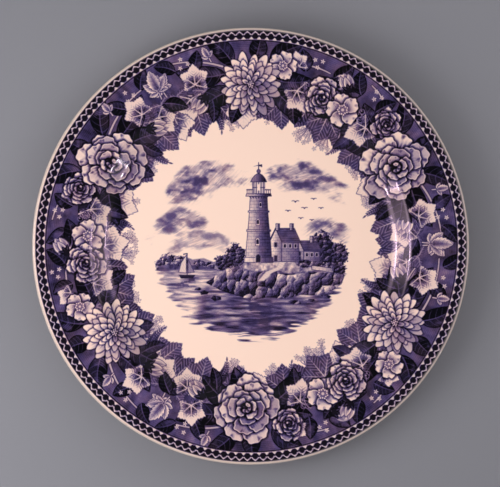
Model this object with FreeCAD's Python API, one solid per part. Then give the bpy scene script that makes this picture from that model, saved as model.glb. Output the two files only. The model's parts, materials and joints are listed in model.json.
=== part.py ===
"""Souvenir plate: a round, rimmed plate of glazed earthenware, made to carry a printed view.

A plate of this kind is one piece of fired clay, and nothing on it moves or comes apart. What it is
made of are layers that the potter adds one after another, and each is a solid of its own here:

  earthenware_body  the once-fired clay body: well, cavetto, rim and foot ring, turned in one profile
  outer_glaze       the glass coat over the face, round the edge and down the back to the foot ring
  recess_glaze      the separate pool of glaze inside the foot ring

The foot ring's flat is wiped bare before the glaze is fired, so the plate stands on clay and the two
coats never meet. Three points of a kiln stilt held the plate up in that firing, and each left a
small round scar in the coat on the back of the rim.

The prints lie under the glaze and have no thickness that a drawing would show, so they are no solids.

Frame: the plate lies on its foot ring, +Z up, with the origin on the axis at the foot ring's flat.
All sizes are in millimetres and degrees.
"""
import FreeCAD
import Part

import math
import os

# ---------------------------------------------------------------- driving dimensions

plate_diameter = 235.0       # over the finished, glazed edge
glaze_thickness = 0.2        # of both coats

# The face, from the centre outwards. Its corners are where the straight lines of the clay would meet.
well_radius = 74.0           # the flat well, out to its corner with the cavetto
well_bend = 24.0             # hollow bend from the well into the cavetto
cavetto_width = 14.0         # the wall between well and rim, seen from above
cavetto_angle = 36.0         # its slope
verge_bend = 12.0            # rounded bend from the cavetto out to the rim
rim_angle = 10.0             # slope of the rim, which takes up the rest of the diameter

# The wall between face and back.
base_thickness = 4.2         # of the well's floor
cavetto_thickness = 3.9
rim_thickness = 3.3          # all the way to the edge
edge_flat = 0.3              # what is left straight between the edge's two roundings

# The back.
foot_height = 3.0            # from the floor up to the back of the well, outside the foot ring
foot_inset = 6.0             # from the well's corner in to the foot ring's outer corner
foot_width = 3.0             # of the foot ring at the floor, before its corners are rounded
foot_draft_angle = 16.0      # lean of the foot ring's two flanks
foot_corner_bend = 0.8       # rounding of the foot ring's two lower corners
foot_root_bend = 1.6         # hollow where the foot ring grows out of the back
back_well_bend = 12.0        # rounded bend under the well's corner
back_verge_bend = 16.0       # hollow bend under the verge
recess_depth = 2.5           # from the floor up to the recess inside the foot ring

# What the glaze firing leaves behind.
wiped_height = 0.5           # how far up the foot ring the glaze is wiped away
stilt_scars = 3
stilt_scar_diameter = 1.6
stilt_inset = 16.5           # from the plate's edge in to the circle of the stilt scars
stilt_first_angle = 90.0

# ---------------------------------------------------------------- sizes that follow from them

body_radius = plate_diameter / 2 - glaze_thickness
well_height = foot_height + base_thickness
verge_radius = well_radius + cavetto_width
verge_height = well_height + cavetto_width * math.tan(math.radians(cavetto_angle))
edge_bend = (rim_thickness - edge_flat) / 2
foot_outer_radius = well_radius - foot_inset
foot_inner_radius = foot_outer_radius - foot_width


# ---------------------------------------------------------------- drawing a section

same_point = 1e-6            # points this close are one


def shifted(point, angle, distance):
    """The point, moved square off a line that climbs at this angle, from the face towards the back."""
    turn = math.radians(angle)
    return (point[0] + distance * math.sin(turn), point[1] - distance * math.cos(turn))


def crossing(point_a, angle_a, point_b, angle_b):
    """Where the lines through two points, at two slopes, cross."""
    a = math.radians(angle_a)
    b = math.radians(angle_b)
    across = point_b[0] - point_a[0]
    up = point_b[1] - point_a[1]
    along = (across * math.sin(b) - up * math.cos(b)) / math.sin(b - a)
    return (point_a[0] + along * math.cos(a), point_a[1] + along * math.sin(a))


def fitting_bends(spots, bends):
    """For each corner, half its angle and its bend, made smaller where two bends would meet on one run."""
    count = len(spots)
    halves = []
    for here in range(count):
        back = spots[here - 1] - spots[here]
        ahead = spots[(here + 1) % count] - spots[here]
        halves.append(back.getAngle(ahead) / 2)
    reaches = [bend / math.tan(half) for bend, half in zip(bends, halves)]
    shares = [1.0] * count
    for here in range(count):
        after = (here + 1) % count
        taken = reaches[here] + reaches[after]
        run = spots[here].distanceToPoint(spots[after])
        if taken > run:
            shares[here] = min(shares[here], run / taken)
            shares[after] = min(shares[after], run / taken)
    return [(half, bend * share) for half, bend, share in zip(halves, bends, shares)]


def rounded_section(corners):
    """A flat face in the XZ plane from (radius, height, bend) corners, each rounded by its bend."""
    spots = [FreeCAD.Vector(radius, 0, height) for radius, height, _ in corners]
    bends = [bend for _, _, bend in corners]
    arcs = []
    for here, (half, bend) in enumerate(fitting_bends(spots, bends)):
        spot = spots[here]
        back = (spots[here - 1] - spot).normalize()
        ahead = (spots[(here + 1) % len(spots)] - spot).normalize()
        reach = bend / math.tan(half)
        inward = (back + ahead).normalize() * (bend / math.sin(half) - bend)
        arcs.append((spot + back * reach, spot + inward, spot + ahead * reach))
    edges = []
    for here, (start, middle, end) in enumerate(arcs):
        end_before = arcs[here - 1][2]
        if end_before.distanceToPoint(start) > same_point:
            edges.append(Part.LineSegment(end_before, start).toShape())
        if start.distanceToPoint(end) > same_point:
            edges.append(Part.Arc(start, middle, end).toShape())
    return Part.Face(Part.Wire(edges))


def box_section(radius_to, height_from, height_to):
    """A flat rectangle in the XZ plane, from the axis outwards."""
    return rounded_section([
        (0.0, height_from, 0),
        (radius_to, height_from, 0),
        (radius_to, height_to, 0),
        (0.0, height_to, 0),
    ])


def turned(section):
    """The solid that a section sweeps in one turn about the plate's axis."""
    return section.revolve(FreeCAD.Vector(0, 0, 0), FreeCAD.Vector(0, 0, 1), 360)


# ---------------------------------------------------------------- the clay body


def edge_corner():
    """The rim's top corner, set back so that the rounded edge ends at the body's radius."""
    lean = math.radians(rim_angle)
    overhang = rim_thickness * math.sin(lean) - edge_bend * (math.sin(lean) + math.cos(lean) - 1)
    radius = body_radius - overhang
    return (radius, verge_height + (radius - verge_radius) * math.tan(lean))


def body_section():
    """Half of the clay cut through the axis: out along the face to the edge, and back underneath."""
    edge_top = edge_corner()

    # The back of each wall lies one thickness behind its face.
    edge_back = shifted(edge_top, rim_angle, rim_thickness)
    cavetto_back = shifted((verge_radius, verge_height), cavetto_angle, cavetto_thickness)
    verge_back = crossing(edge_back, rim_angle, cavetto_back, cavetto_angle)
    well_back = crossing(cavetto_back, cavetto_angle, (0.0, foot_height), 0.0)

    # The foot ring grows wider from its flat up to the back of the well.
    lean = math.tan(math.radians(foot_draft_angle))
    return rounded_section([
        (0.0, well_height, 0),
        (well_radius, well_height, well_bend),
        (verge_radius, verge_height, verge_bend),
        (*edge_top, edge_bend),
        (*edge_back, edge_bend),
        (*verge_back, back_verge_bend),
        (*well_back, back_well_bend),
        (foot_outer_radius + foot_height * lean, foot_height, foot_root_bend),
        (foot_outer_radius, 0.0, foot_corner_bend),
        (foot_inner_radius, 0.0, foot_corner_bend),
        (foot_inner_radius - recess_depth * lean, recess_depth, foot_root_bend),
        (0.0, recess_depth, 0),
    ])


# ---------------------------------------------------------------- the two coats of glaze


def coat_sections(clay):
    """The glaze's two sections, the outer one first: an even skin on the clay, wiped off the foot ring."""
    skin = clay.makeOffset2D(glaze_thickness).cut(clay)
    kept = box_section(plate_diameter, wiped_height, plate_diameter)
    coats = skin.common(kept).Faces
    return sorted(coats, key=lambda coat: coat.BoundBox.XMax, reverse=True)


def scar_in_coat(number, body):
    """What one point of the kiln stilt takes out of the coat: a round pin from the floor up to the clay."""
    turn = math.radians(stilt_first_angle + number * 360.0 / stilt_scars)
    radius = plate_diameter / 2 - stilt_inset
    foot = FreeCAD.Vector(radius * math.cos(turn), radius * math.sin(turn), 0)
    pin = Part.makeCylinder(stilt_scar_diameter / 2, plate_diameter, foot)
    above_and_below = pin.cut(body).Solids
    return min(above_and_below, key=lambda piece: piece.BoundBox.ZMin)


# ---------------------------------------------------------------- the pieces


def make_pieces():
    """Every piece by its name."""
    clay = body_section()
    body = turned(clay)
    outer_glaze, recess_glaze = (turned(coat) for coat in coat_sections(clay))
    for number in range(stilt_scars):
        outer_glaze = outer_glaze.cut(scar_in_coat(number, body))
    return {
        "earthenware_body": body,
        "outer_glaze": outer_glaze,
        "recess_glaze": recess_glaze,
    }


os.makedirs("parts", exist_ok=True)
for name, piece in make_pieces().items():
    solid = piece.Solids[0]
    print(f"{name}: {len(piece.Solids)} solid, valid {solid.isValid()}, {solid.Volume / 1000:.2f} cm3")
    solid.exportStep(f"parts/{name}.step")
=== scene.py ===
# %% [markdown]
# # Souvenir plate
#
# This lesson dresses a souvenir plate: printed earthenware under a clear glaze. The clay body comes
# from the CAD frame and stays. The glaze is modelled here as a finely divided skin, so that a print
# can be laid on it point by point. The print is worked out in code: first an empty sheet, then the
# border of flowers and leaves, then the view in the well. The last cells make the finishes, the floor,
# the lamps and the camera.

import json
import math
import bpy
import numpy as np
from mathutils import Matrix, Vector

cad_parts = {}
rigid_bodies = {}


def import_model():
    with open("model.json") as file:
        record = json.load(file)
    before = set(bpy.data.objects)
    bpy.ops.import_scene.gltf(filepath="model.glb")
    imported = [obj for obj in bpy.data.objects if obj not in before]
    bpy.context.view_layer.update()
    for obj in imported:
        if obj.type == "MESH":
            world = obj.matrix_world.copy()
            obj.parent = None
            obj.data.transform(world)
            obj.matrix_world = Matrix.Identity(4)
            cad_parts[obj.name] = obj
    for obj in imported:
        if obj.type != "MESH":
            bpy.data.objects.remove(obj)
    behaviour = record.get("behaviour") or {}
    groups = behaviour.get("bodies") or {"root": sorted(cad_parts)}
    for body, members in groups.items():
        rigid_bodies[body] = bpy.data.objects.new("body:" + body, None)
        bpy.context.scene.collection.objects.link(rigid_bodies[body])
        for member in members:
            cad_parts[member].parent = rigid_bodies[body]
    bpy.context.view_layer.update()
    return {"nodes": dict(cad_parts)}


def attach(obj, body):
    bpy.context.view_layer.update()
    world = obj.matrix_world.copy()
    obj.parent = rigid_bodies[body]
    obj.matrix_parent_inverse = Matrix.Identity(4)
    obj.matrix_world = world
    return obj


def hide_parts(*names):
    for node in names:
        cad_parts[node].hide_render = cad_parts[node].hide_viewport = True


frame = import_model()
print("CAD nodes:", sorted(frame["nodes"]))

# %% [markdown]
# ### The plate's section
#
# A thrown or pressed plate is the same all the way round, so one half section says everything about
# its shape. It is written here as the corners that its straight lines would make, each with the bend
# that rounds it, from the same named sizes as the clay's own source. All of it is in millimetres.

# %% sizes, as in the part's source
MM = 0.001                         # the scene is in metres
plate_diameter = 235.0
glaze_thickness = 0.2
well_radius = 74.0
well_bend = 24.0
cavetto_width = 14.0
cavetto_angle = 36.0
verge_bend = 12.0
rim_angle = 10.0
base_thickness = 4.2
cavetto_thickness = 3.9
rim_thickness = 3.3
edge_flat = 0.3
foot_height = 3.0
foot_inset = 6.0
foot_width = 3.0
foot_draft_angle = 16.0
foot_corner_bend = 0.8
foot_root_bend = 1.6
back_well_bend = 12.0
back_verge_bend = 16.0
recess_depth = 2.5
wiped_height = 0.5
stilt_scars = 3
stilt_scar_diameter = 1.6
stilt_inset = 16.5
stilt_first_angle = 90.0


# %% the section's corners
def slope(degrees):
    """A unit step outwards along a line that climbs at this angle."""
    return np.array((math.cos(math.radians(degrees)), math.sin(math.radians(degrees))))


def behind(corner, degrees, distance):
    """The corner, moved square off a line from the face towards the back."""
    step = slope(degrees)
    return np.array(corner) + distance * np.array((step[1], -step[0]))


def crossing(corner_a, degrees_a, corner_b, degrees_b):
    """Where two lines cross."""
    both_slopes = np.column_stack((slope(degrees_a), -slope(degrees_b)))
    along = np.linalg.solve(both_slopes, np.array(corner_b) - np.array(corner_a))
    return np.array(corner_a) + along[0] * slope(degrees_a)


def section_corners():
    """(radius, height, bend) of each corner, out along the face and back underneath."""
    well_height = foot_height + base_thickness
    verge_height = well_height + cavetto_width * math.tan(math.radians(cavetto_angle))
    verge = (well_radius + cavetto_width, verge_height)
    edge_bend = (rim_thickness - edge_flat) / 2
    lean = slope(rim_angle)
    overhang = rim_thickness * lean[1] - edge_bend * (lean[1] + lean[0] - 1)
    edge_radius = plate_diameter / 2 - glaze_thickness - overhang
    edge_top = (edge_radius, verge_height + (edge_radius - verge[0]) * lean[1] / lean[0])
    edge_back = behind(edge_top, rim_angle, rim_thickness)
    cavetto_back = behind(verge, cavetto_angle, cavetto_thickness)
    verge_back = crossing(edge_back, rim_angle, cavetto_back, cavetto_angle)
    well_back = crossing(cavetto_back, cavetto_angle, (0.0, foot_height), 0.0)
    foot_outer = well_radius - foot_inset
    foot_inner = foot_outer - foot_width
    draft = math.tan(math.radians(foot_draft_angle))
    return [
        (0.0, well_height, 0.0),
        (well_radius, well_height, well_bend),
        (*verge, verge_bend),
        (*edge_top, edge_bend),
        (*edge_back, edge_bend),
        (*verge_back, back_verge_bend),
        (*well_back, back_well_bend),
        (foot_outer + foot_height * draft, foot_height, foot_root_bend),
        (foot_outer, 0.0, foot_corner_bend),
        (foot_inner, 0.0, foot_corner_bend),
        (foot_inner - recess_depth * draft, recess_depth, foot_root_bend),
        (0.0, recess_depth, 0.0),
    ]


print("section corners:", len(section_corners()))


# %% [markdown]
# ### Walking along the section
#
# The skin needs a point every few tenths of a millimetre, and the direction square to the clay at each
# one. So the corners are rounded once into a fine table of arc length, radius, height and outward
# direction, and every later piece reads the points it wants from that table.

# %% the section as a fine table
def unit(step):
    """A step shortened to one millimetre."""
    return step / np.linalg.norm(step)


def rounded(corners, spacing=0.05):
    """Points and outward directions along the section, with each corner rounded by its bend."""
    spots = [np.array(corner[:2]) for corner in corners]
    points = [spots[0]]
    normals = [np.array((0.0, 1.0))]
    for before, here, after, corner in zip(spots, spots[1:], spots[2:], corners[1:]):
        back = unit(before - here)
        ahead = unit(after - here)
        half = math.acos(float(np.clip(back @ ahead, -1, 1))) / 2
        bend = corner[2]
        centre = here + unit(back + ahead) * bend / math.sin(half)
        arm = here + back * bend / math.tan(half) - centre
        sweep = math.pi - 2 * half
        hand = math.copysign(1.0, back[0] * ahead[1] - back[1] * ahead[0])
        for part in np.linspace(0.0, sweep, max(2, int(bend * sweep / spacing)) + 1):
            cos, sin = math.cos(-hand * part), math.sin(-hand * part)
            spun = np.array((arm[0] * cos - arm[1] * sin, arm[0] * sin + arm[1] * cos))
            points.append(centre + spun)
            normals.append(hand * spun / bend)
    points.append(spots[-1])
    normals.append(np.array((0.0, -1.0)))
    return np.array(points), np.array(normals)


profile, profile_normals = rounded(section_corners())
arc_length = np.concatenate(((0.0,), np.cumsum(np.linalg.norm(np.diff(profile, axis=0), axis=1))))
edge_row = int(np.argmax(profile[:, 0]))
floor_row = int(np.argmin(profile[:, 1]))


def on_face(radius):
    """Arc length at which the face reaches a radius."""
    return float(np.interp(radius, profile[:edge_row, 0], arc_length[:edge_row]))


def on_back(radius):
    """Arc length at which the back, going inwards, reaches a radius."""
    rows = slice(edge_row, floor_row)
    return float(np.interp(-radius, -profile[rows, 0], arc_length[rows]))


def wiped_at(first, last):
    """Arc length on one flank of the foot ring at which the glaze was wiped away."""
    rows = slice(first, last)
    order = np.argsort(profile[rows, 1])
    return float(np.interp(wiped_height, profile[rows, 1][order], arc_length[rows][order]))


def skin(along, lift):
    """Section points at these arc lengths, lifted off the clay by one distance or by one for each point."""
    point = np.column_stack([np.interp(along, arc_length, profile[:, axis]) for axis in (0, 1)])
    out = np.column_stack([np.interp(along, arc_length, profile_normals[:, axis]) for axis in (0, 1)])
    return point + np.reshape(lift, (-1, 1)) * out / np.linalg.norm(out, axis=1)[:, None]


FLANK_ROWS = 40                    # rows of the table that surely hold the foot ring's outer flank
outer_wipe = wiped_at(floor_row - FLANK_ROWS, floor_row + 1)
inner_wipe = wiped_at(floor_row + 1, len(profile) - 1)
print(f"section: {len(profile)} points, {arc_length[-1]:.1f} mm long, edge at {profile[edge_row]}")


# %% [markdown]
# ### Rings of glaze
#
# The glaze is one unbroken skin on the real plate. As one mesh with a point every third of a millimetre
# it would be too heavy to handle, so it is made as a round piece in the well and rings around it, which
# meet edge to edge where the section runs straight. Each ring starts as one vertex that is extruded
# along the section, out along the shiny side and back along the hidden one, and a Screw modifier
# turns that outline once round the axis. It does what the Spin tool does, many times faster.

# %% ring helpers
COAT_TOP = 0.198                   # how far the shiny side stands off the clay
COAT_UNDER = 0.04                  # and the hidden side
LIP = 0.35                         # over which a wiped end of the coat rounds off
LIP_END = COAT_UNDER + 0.03        # how far the coat still stands off at such an end
SMOOTH_UP_TO = math.radians(30)    # edges with a sharper fold stay sharp
SECTORS = 8                        # every ring's map is cut into this many strips
MAP_GAP = 0.006                    # room between them
HIDDEN_SHARE = 0.12                # how much of its size the hidden side keeps on the map


def nothing_selected():
    """Leave edit mode with nothing selected, so that the next operator touches only its own piece."""
    if bpy.context.mode != "OBJECT":
        bpy.ops.object.mode_set(mode="OBJECT")
    bpy.ops.object.select_all(action="DESELECT")


def finish_surface():
    """Turn the active piece's faces outwards and shade them smooth."""
    bpy.ops.object.mode_set(mode="EDIT")
    bpy.ops.mesh.select_all(action="SELECT")
    bpy.ops.mesh.normals_make_consistent(inside=False)
    bpy.ops.object.mode_set(mode="OBJECT")
    bpy.ops.object.shade_smooth_by_angle(angle=SMOOTH_UP_TO)


def read(items, what, width=1, kind=np.int32):
    """One value, or a row of them, from each vertex, corner or face."""
    values = np.empty(len(items) * width, kind)
    items.foreach_get(what, values)
    return values.reshape(-1, width) if width > 1 else values


# %% an outline, and its turn round the axis
def draw_outline(name, outline):
    """A new piece that is one closed outline in the XZ plane, extruded point by point."""
    nothing_selected()
    bpy.ops.mesh.primitive_plane_add(size=1.0, location=(0, 0, 0))
    piece = bpy.context.object
    piece.name = name
    bpy.ops.object.mode_set(mode="EDIT")
    bpy.ops.mesh.select_all(action="SELECT")
    bpy.ops.mesh.merge(type="CENTER")
    here = outline[0] * MM
    bpy.ops.transform.translate(value=(here[0], 0, here[1]))
    for spot in outline[1:] * MM:
        step = spot - here
        bpy.ops.mesh.extrude_region_move(TRANSFORM_OT_translate={"value": (step[0], 0, step[1])})
        here = spot
    bpy.ops.object.mode_set(mode="OBJECT")
    piece.data.vertices[0].select = True
    bpy.ops.object.mode_set(mode="EDIT")
    bpy.ops.mesh.edge_face_add()
    bpy.ops.object.mode_set(mode="OBJECT")
    return piece


def turn_round(piece, spokes):
    """Turn the outline once round the plate's axis."""
    screw = piece.modifiers.new("one turn", "SCREW")
    screw.axis = "Z"
    screw.angle = math.tau
    screw.steps = spokes
    screw.render_steps = spokes
    screw.use_merge_vertices = True
    screw.merge_threshold = 1e-7
    bpy.ops.object.modifier_apply(modifier=screw.name)
    finish_surface()


# %% a ring of glaze and its map
def map_ring(mesh, outline, spokes, shiny):
    """A map of the ring: strips of its outline, one under the other, each an eighth of the way round."""
    count = len(outline)
    runs = np.linalg.norm(np.diff(np.vstack((outline, outline[:1])), axis=0), axis=1)
    runs[shiny - 1:] *= HIDDEN_SHARE
    height = np.concatenate(((0.0,), np.cumsum(runs))) / runs.sum()
    corners = read(mesh.loops, "vertex_index").reshape(len(mesh.polygons), -1)
    spoke = corners // count
    place_in = corners % count
    # Faces that close the ring or the outline count on past the last spoke or point.
    across_end = (spoke.max(1) - spoke.min(1)) > 1
    spoke = np.where(across_end[:, None] & (spoke == 0), spokes, spoke)
    over_join = (place_in.max(1) - place_in.min(1)) > 1
    place_in = np.where(over_join[:, None] & (place_in == 0), count, place_in)
    per_strip = spokes // SECTORS
    strip = spoke.min(1)[:, None] // per_strip
    u = MAP_GAP + (spoke - strip * per_strip) / per_strip * (1 - 2 * MAP_GAP)
    v = (strip + MAP_GAP * 4 + height[place_in] * (1 - 8 * MAP_GAP)) / SECTORS
    layer = mesh.uv_layers.new(name="OFBake")
    layer.data.foreach_set("uv", np.stack((u, v), axis=-1).astype(np.float32).ravel())


def ring(name, start, end, spacing, spokes, under=6, lip=None):
    """A ring of glaze between two arc lengths, finely divided on its shiny side only."""
    fine = np.linspace(start, end, max(2, math.ceil((end - start) / spacing) + 1))
    coarse = np.linspace(end, start, under)
    lift = np.full(len(fine), COAT_TOP)
    if lip is not None:
        depth = np.clip(np.abs(fine - lip) / LIP, 0, 1)
        lift = np.minimum(lift, LIP_END + (COAT_TOP - LIP_END) * np.sqrt(1 - (1 - depth) ** 2))
    outline = np.vstack((skin(fine, lift), skin(coarse, COAT_UNDER)))
    piece = draw_outline(name, outline)
    turn_round(piece, spokes)
    if piece.data.uv_layers:
        piece.data.uv_layers.remove(piece.data.uv_layers[0])
    map_ring(piece.data, outline, spokes, len(fine))
    around = math.tau * outline[0][0] / spokes
    print(f"{name}: {len(piece.data.polygons)} faces, {spacing:.2f} mm by {around:.2f} mm")
    return piece


# %% the rings on the face
MIDDLE = 44.0                      # radius of the round piece inside them
well_ring = ring("well_ring_glaze", on_face(MIDDLE), on_face(66.0), 0.31, 1136, under=2)
cavetto_ring = ring("cavetto_glaze", on_face(66.0), on_face(84.0), 0.33, 1440)
verge_ring = ring("verge_glaze", on_face(84.0), on_face(98.0), 0.32, 1840)
rim_ring = ring("rim_glaze", on_face(98.0), on_face(111.0), 0.3, 2000, under=2)
edge_ring = ring("edge_glaze", on_face(111.0), on_back(115.2), 0.27, 2160)

# %% the back, down to the wiped foot ring, and the recess inside it
RECESS_MIDDLE = 40.0               # radius of the round piece inside the recess ring
recess_end = float(arc_length[-1]) - RECESS_MIDDLE
back_ring = ring("back_glaze", on_back(115.2), outer_wipe, 0.55, 600, under=60, lip=outer_wipe)
recess_ring = ring("recess_ring_glaze", inner_wipe, recess_end, 0.4, 480, under=24, lip=inner_wipe)


# %% [markdown]
# ### Round middles
#
# Rings would crowd together at the centre, so the middle is a square grid. Its square rows are pushed
# out into circles, each point keeping its share of the way round, and the outer row then lies
# exactly on the first ring's inner edge. The well gets one, finely divided for the print, and so does
# the recess underneath.

# %% round middles
NUMBERED_FROM = (0.0113, 0.0079, 0)    # on no line of symmetry, so no two faces are equally far from it


def map_middle(mesh, radius, shiny_z):
    """A map seen from straight above, with the hidden side and the wall small in its margins."""
    layer = mesh.uv_layers[0]
    layer.name = "OFBake"
    spots = read(mesh.vertices, "co", 3, float)[read(mesh.loops, "vertex_index")] / MM
    sizes = read(mesh.polygons, "loop_total")
    faces = np.repeat(np.arange(len(sizes)), sizes)
    shiny_corner = np.abs(spots[:, 2] - shiny_z) < 0.01
    share = (np.bincount(faces, weights=shiny_corner) / np.bincount(faces))[faces]
    turn = np.arctan2(spots[:, 1], spots[:, 0])
    top = np.stack((0.5 + 0.46 * spots[:, 0] / radius, 0.52 + 0.46 * spots[:, 1] / radius), axis=1)
    under = np.stack((0.05 + 0.03 * spots[:, 0] / radius, 0.07 + 0.03 * spots[:, 1] / radius), axis=1)
    wall = np.stack((0.5 + 0.45 * turn / math.pi, 0.01 + 0.01 * shiny_corner), axis=1)
    flat = np.where((share > 0.9)[:, None], top, np.where((share < 0.1)[:, None], under, wall))
    layer.data.foreach_set("uv", flat.astype(np.float32).ravel())


def number_wall():
    """Number the faces past the grid by their distance from one place. Extruding many edges at once
    numbers them in another order on each run, and a lesson should give the same mesh every time."""
    bpy.context.scene.cursor.location = NUMBERED_FROM
    bpy.ops.mesh.select_more()
    bpy.ops.mesh.sort_elements(type="CURSOR_DISTANCE", elements={"EDGE", "FACE"})


def round_middle(name, radius, grid, shiny_z, hidden_z):
    """A square grid turned into a disc, with a thin wall to a hidden side."""
    nothing_selected()
    bpy.ops.mesh.primitive_grid_add(x_subdivisions=grid, y_subdivisions=grid, size=2.0, location=(0, 0, 0))
    piece = bpy.context.object
    piece.name = name
    mesh = piece.data
    x, y, _ = read(mesh.vertices, "co", 3, float).T
    sideways = np.abs(x) >= np.abs(y)
    main = np.where(sideways, x, y)
    part = np.where(sideways, y, x) / np.where(np.abs(main) > 1e-9, main, 1.0) * math.pi / 4
    turn = np.where(sideways, part, math.pi / 2 - part)
    disc = (main * np.cos(turn) * radius, main * np.sin(turn) * radius, np.full(len(x), shiny_z))
    mesh.vertices.foreach_set("co", (np.stack(disc, axis=1) * MM).ravel())
    mesh.update()
    bpy.ops.object.mode_set(mode="EDIT")
    bpy.ops.mesh.select_all(action="DESELECT")
    bpy.ops.mesh.select_non_manifold(extend=False)
    bpy.ops.mesh.extrude_region_move(TRANSFORM_OT_translate={"value": (0, 0, (hidden_z - shiny_z) * MM)})
    bpy.ops.mesh.edge_face_add()
    number_wall()
    finish_surface()
    map_middle(mesh, radius, shiny_z)
    print(f"{name}: {len(mesh.polygons)} faces, {2 * radius / grid:.2f} mm apart")
    return piece


well_z = profile[0, 1]
well_middle = round_middle("well_middle_glaze", MIDDLE, 284, well_z + COAT_TOP, well_z + COAT_UNDER)
recess_middle = round_middle(
    "recess_middle_glaze", RECESS_MIDDLE, 120, recess_depth - COAT_TOP, recess_depth - COAT_UNDER)

# %% [markdown]
# ### Stilt scars
#
# In the glaze firing the plate stood face up on the three points of a kiln stilt, and where they were
# knocked off afterwards the coat is broken through to the clay. Three short cylinders are joined into
# one cutter, and a Boolean modifier takes them out of the coat on the back of the rim.

# %% stilt scars
MERGED_WITHIN = 0.001 * MM         # the cut leaves points that all but touch, and they're made one


def scar_cutter():
    """Three upright cylinders as one piece, one for each point of the stilt."""
    nothing_selected()
    circle = plate_diameter / 2 - stilt_inset
    pins = []
    for number in range(stilt_scars):
        turn = math.radians(stilt_first_angle + number * 360 / stilt_scars)
        bpy.ops.mesh.primitive_cylinder_add(
            vertices=48, radius=stilt_scar_diameter / 2 * MM, depth=0.009,
            location=(circle * MM * math.cos(turn), circle * MM * math.sin(turn), 0.012))
        pins.append(bpy.context.object)
    nothing_selected()
    for pin in pins:
        pin.select_set(True)
    bpy.context.view_layer.objects.active = pins[0]
    bpy.ops.object.join()
    pin_map = pins[0].data.uv_layers[0]
    pin_map.name = "OFBake"
    for corner in pin_map.data:
        corner.uv = corner.uv * 0.002
    return pins[0]


def cut_scars(piece):
    """Round breaks in the coat where the stilt stood."""
    cutter = scar_cutter()
    nothing_selected()
    piece.select_set(True)
    bpy.context.view_layer.objects.active = piece
    before = len(piece.data.polygons)
    scars = piece.modifiers.new("stilt scars", "BOOLEAN")
    scars.operation = "DIFFERENCE"
    scars.solver = "EXACT"
    scars.object = cutter
    bpy.ops.object.modifier_apply(modifier=scars.name)
    bpy.data.objects.remove(cutter, do_unlink=True)
    bpy.ops.object.mode_set(mode="EDIT")
    bpy.ops.mesh.select_all(action="SELECT")
    bpy.ops.mesh.remove_doubles(threshold=MERGED_WITHIN)
    bpy.ops.object.mode_set(mode="OBJECT")
    bpy.ops.object.shade_smooth_by_angle(angle=SMOOTH_UP_TO)
    print(f"{piece.name}: {before} faces before the scars, {len(piece.data.polygons)} after")


cut_scars(back_ring)


# %% [markdown]
# ## The print: ink on a sheet
#
# The view and its border reach the clay as a transfer: a copper plate is engraved, its ink is printed
# on tissue, and the tissue is rubbed down on the plate. Ink has one colour, so all that an engraver
# draws is how much of it lies in each place. The sheet here is the same thing: one number per dot,
# from 0 for bare clay to 1 for the heaviest ink. Each dot's place is a complex number, in millimetres
# from the plate's axis, so turning a motif is a multiplication.

# %% the sheet, and how ink is laid on it
DOT = 0.15                         # millimetres between two dots of the sheet
HALF = 118.5                       # half of its width
ALL = (slice(None), slice(None))   # every dot of it
lines = np.arange(-HALF, HALF + DOT, DOT, dtype=np.float32)
place = (lines[None, :] + 1j * lines[:, None]).astype(np.complex64)
ink = np.zeros(place.shape, np.float32)


def ray(degrees):
    """A step of one millimetre in a direction."""
    return complex(math.cos(math.radians(degrees)), math.sin(math.radians(degrees)))


def facing(w, degrees):
    """The dots as they lie once this direction is turned to the first axis."""
    return w * np.complex64(1 / ray(degrees))


def patch(centre, reach):
    """The square of the sheet round a point, and where each of its dots lies from that point."""
    left, right = np.searchsorted(lines, (centre.real - reach, centre.real + reach))
    low, high = np.searchsorted(lines, (centre.imag - reach, centre.imag + reach))
    spot = (slice(low, high), slice(left, right))
    return spot, place[spot] - np.complex64(centre)


def inside(distance, blur=0.16):
    """1 within an outline and 0 outside it, from the distance to it, which is negative within."""
    return np.clip(0.5 - distance / (2 * blur), 0, 1)


def lay(spot, cover, tone):
    """Wipes the ink under a shape and gives it this tone instead."""
    ink[spot] += (tone - ink[spot]) * cover


def smooth(value, low, high):
    """A soft step from 0 at low to 1 at high."""
    share = np.clip((value - low) / (high - low), 0, 1)
    return share * share * (3 - 2 * share)


def comb(value, pitch=1):
    """Even waves from 0 to 1, one in each pitch."""
    return 0.5 + 0.5 * np.cos(math.tau * value / pitch)


def grain(u, v, seed, octaves=1):
    """Soft noise from about 0 to 1, with blots one unit wide and each further octave half as large."""
    table = np.random.default_rng(seed).random((257, 257), np.float32)
    total = 0
    for k in range(octaves):
        column = (u * 2**k + 31.7 * k) % 256
        row = (v * 2**k + 57.1 * k) % 256
        i, j = row.astype(int), column.astype(int)
        down, across = row - i, column - j
        down = down * down * (3 - 2 * down)
        across = across * across * (3 - 2 * across)
        top = table[i, j] * (1 - across) + table[i, j + 1] * across
        foot = table[i + 1, j] * (1 - across) + table[i + 1, j + 1] * across
        total = total + (top * (1 - down) + foot * down) / 2**k
    return total / (2 - 2.0 ** (1 - octaves))


def rough(size, seed, spot=ALL, octaves=4, ratio=1):
    """Blots of about this size in millimetres with finer ones on them, drawn out sideways by a ratio."""
    u, v = (place[spot].real + HALF) / size / ratio, (place[spot].imag + HALF) / size
    return grain(u, v, seed, octaves)


def polar(w):
    """Distance and direction, in radians, of each dot."""
    return np.abs(w), np.angle(w)


# %% strokes, dots and outlines
def near(w, points):
    """The distance from each dot to a line through the points, and how far along it the nearest point is."""
    best = np.full(w.shape, 1e9, np.float32)
    along = np.zeros(w.shape, np.float32)
    for k, (a, b) in enumerate(zip(points, points[1:])):
        step = b - a
        share = np.clip(((w - a) * np.conj(step)).real / max(abs(step) ** 2, 1e-9), 0, 1)
        gap = np.abs(w - a - share * step)
        along = np.where(gap < best, (k + share) / (len(points) - 1), along)
        best = np.minimum(best, gap)
    return best, along


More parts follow.
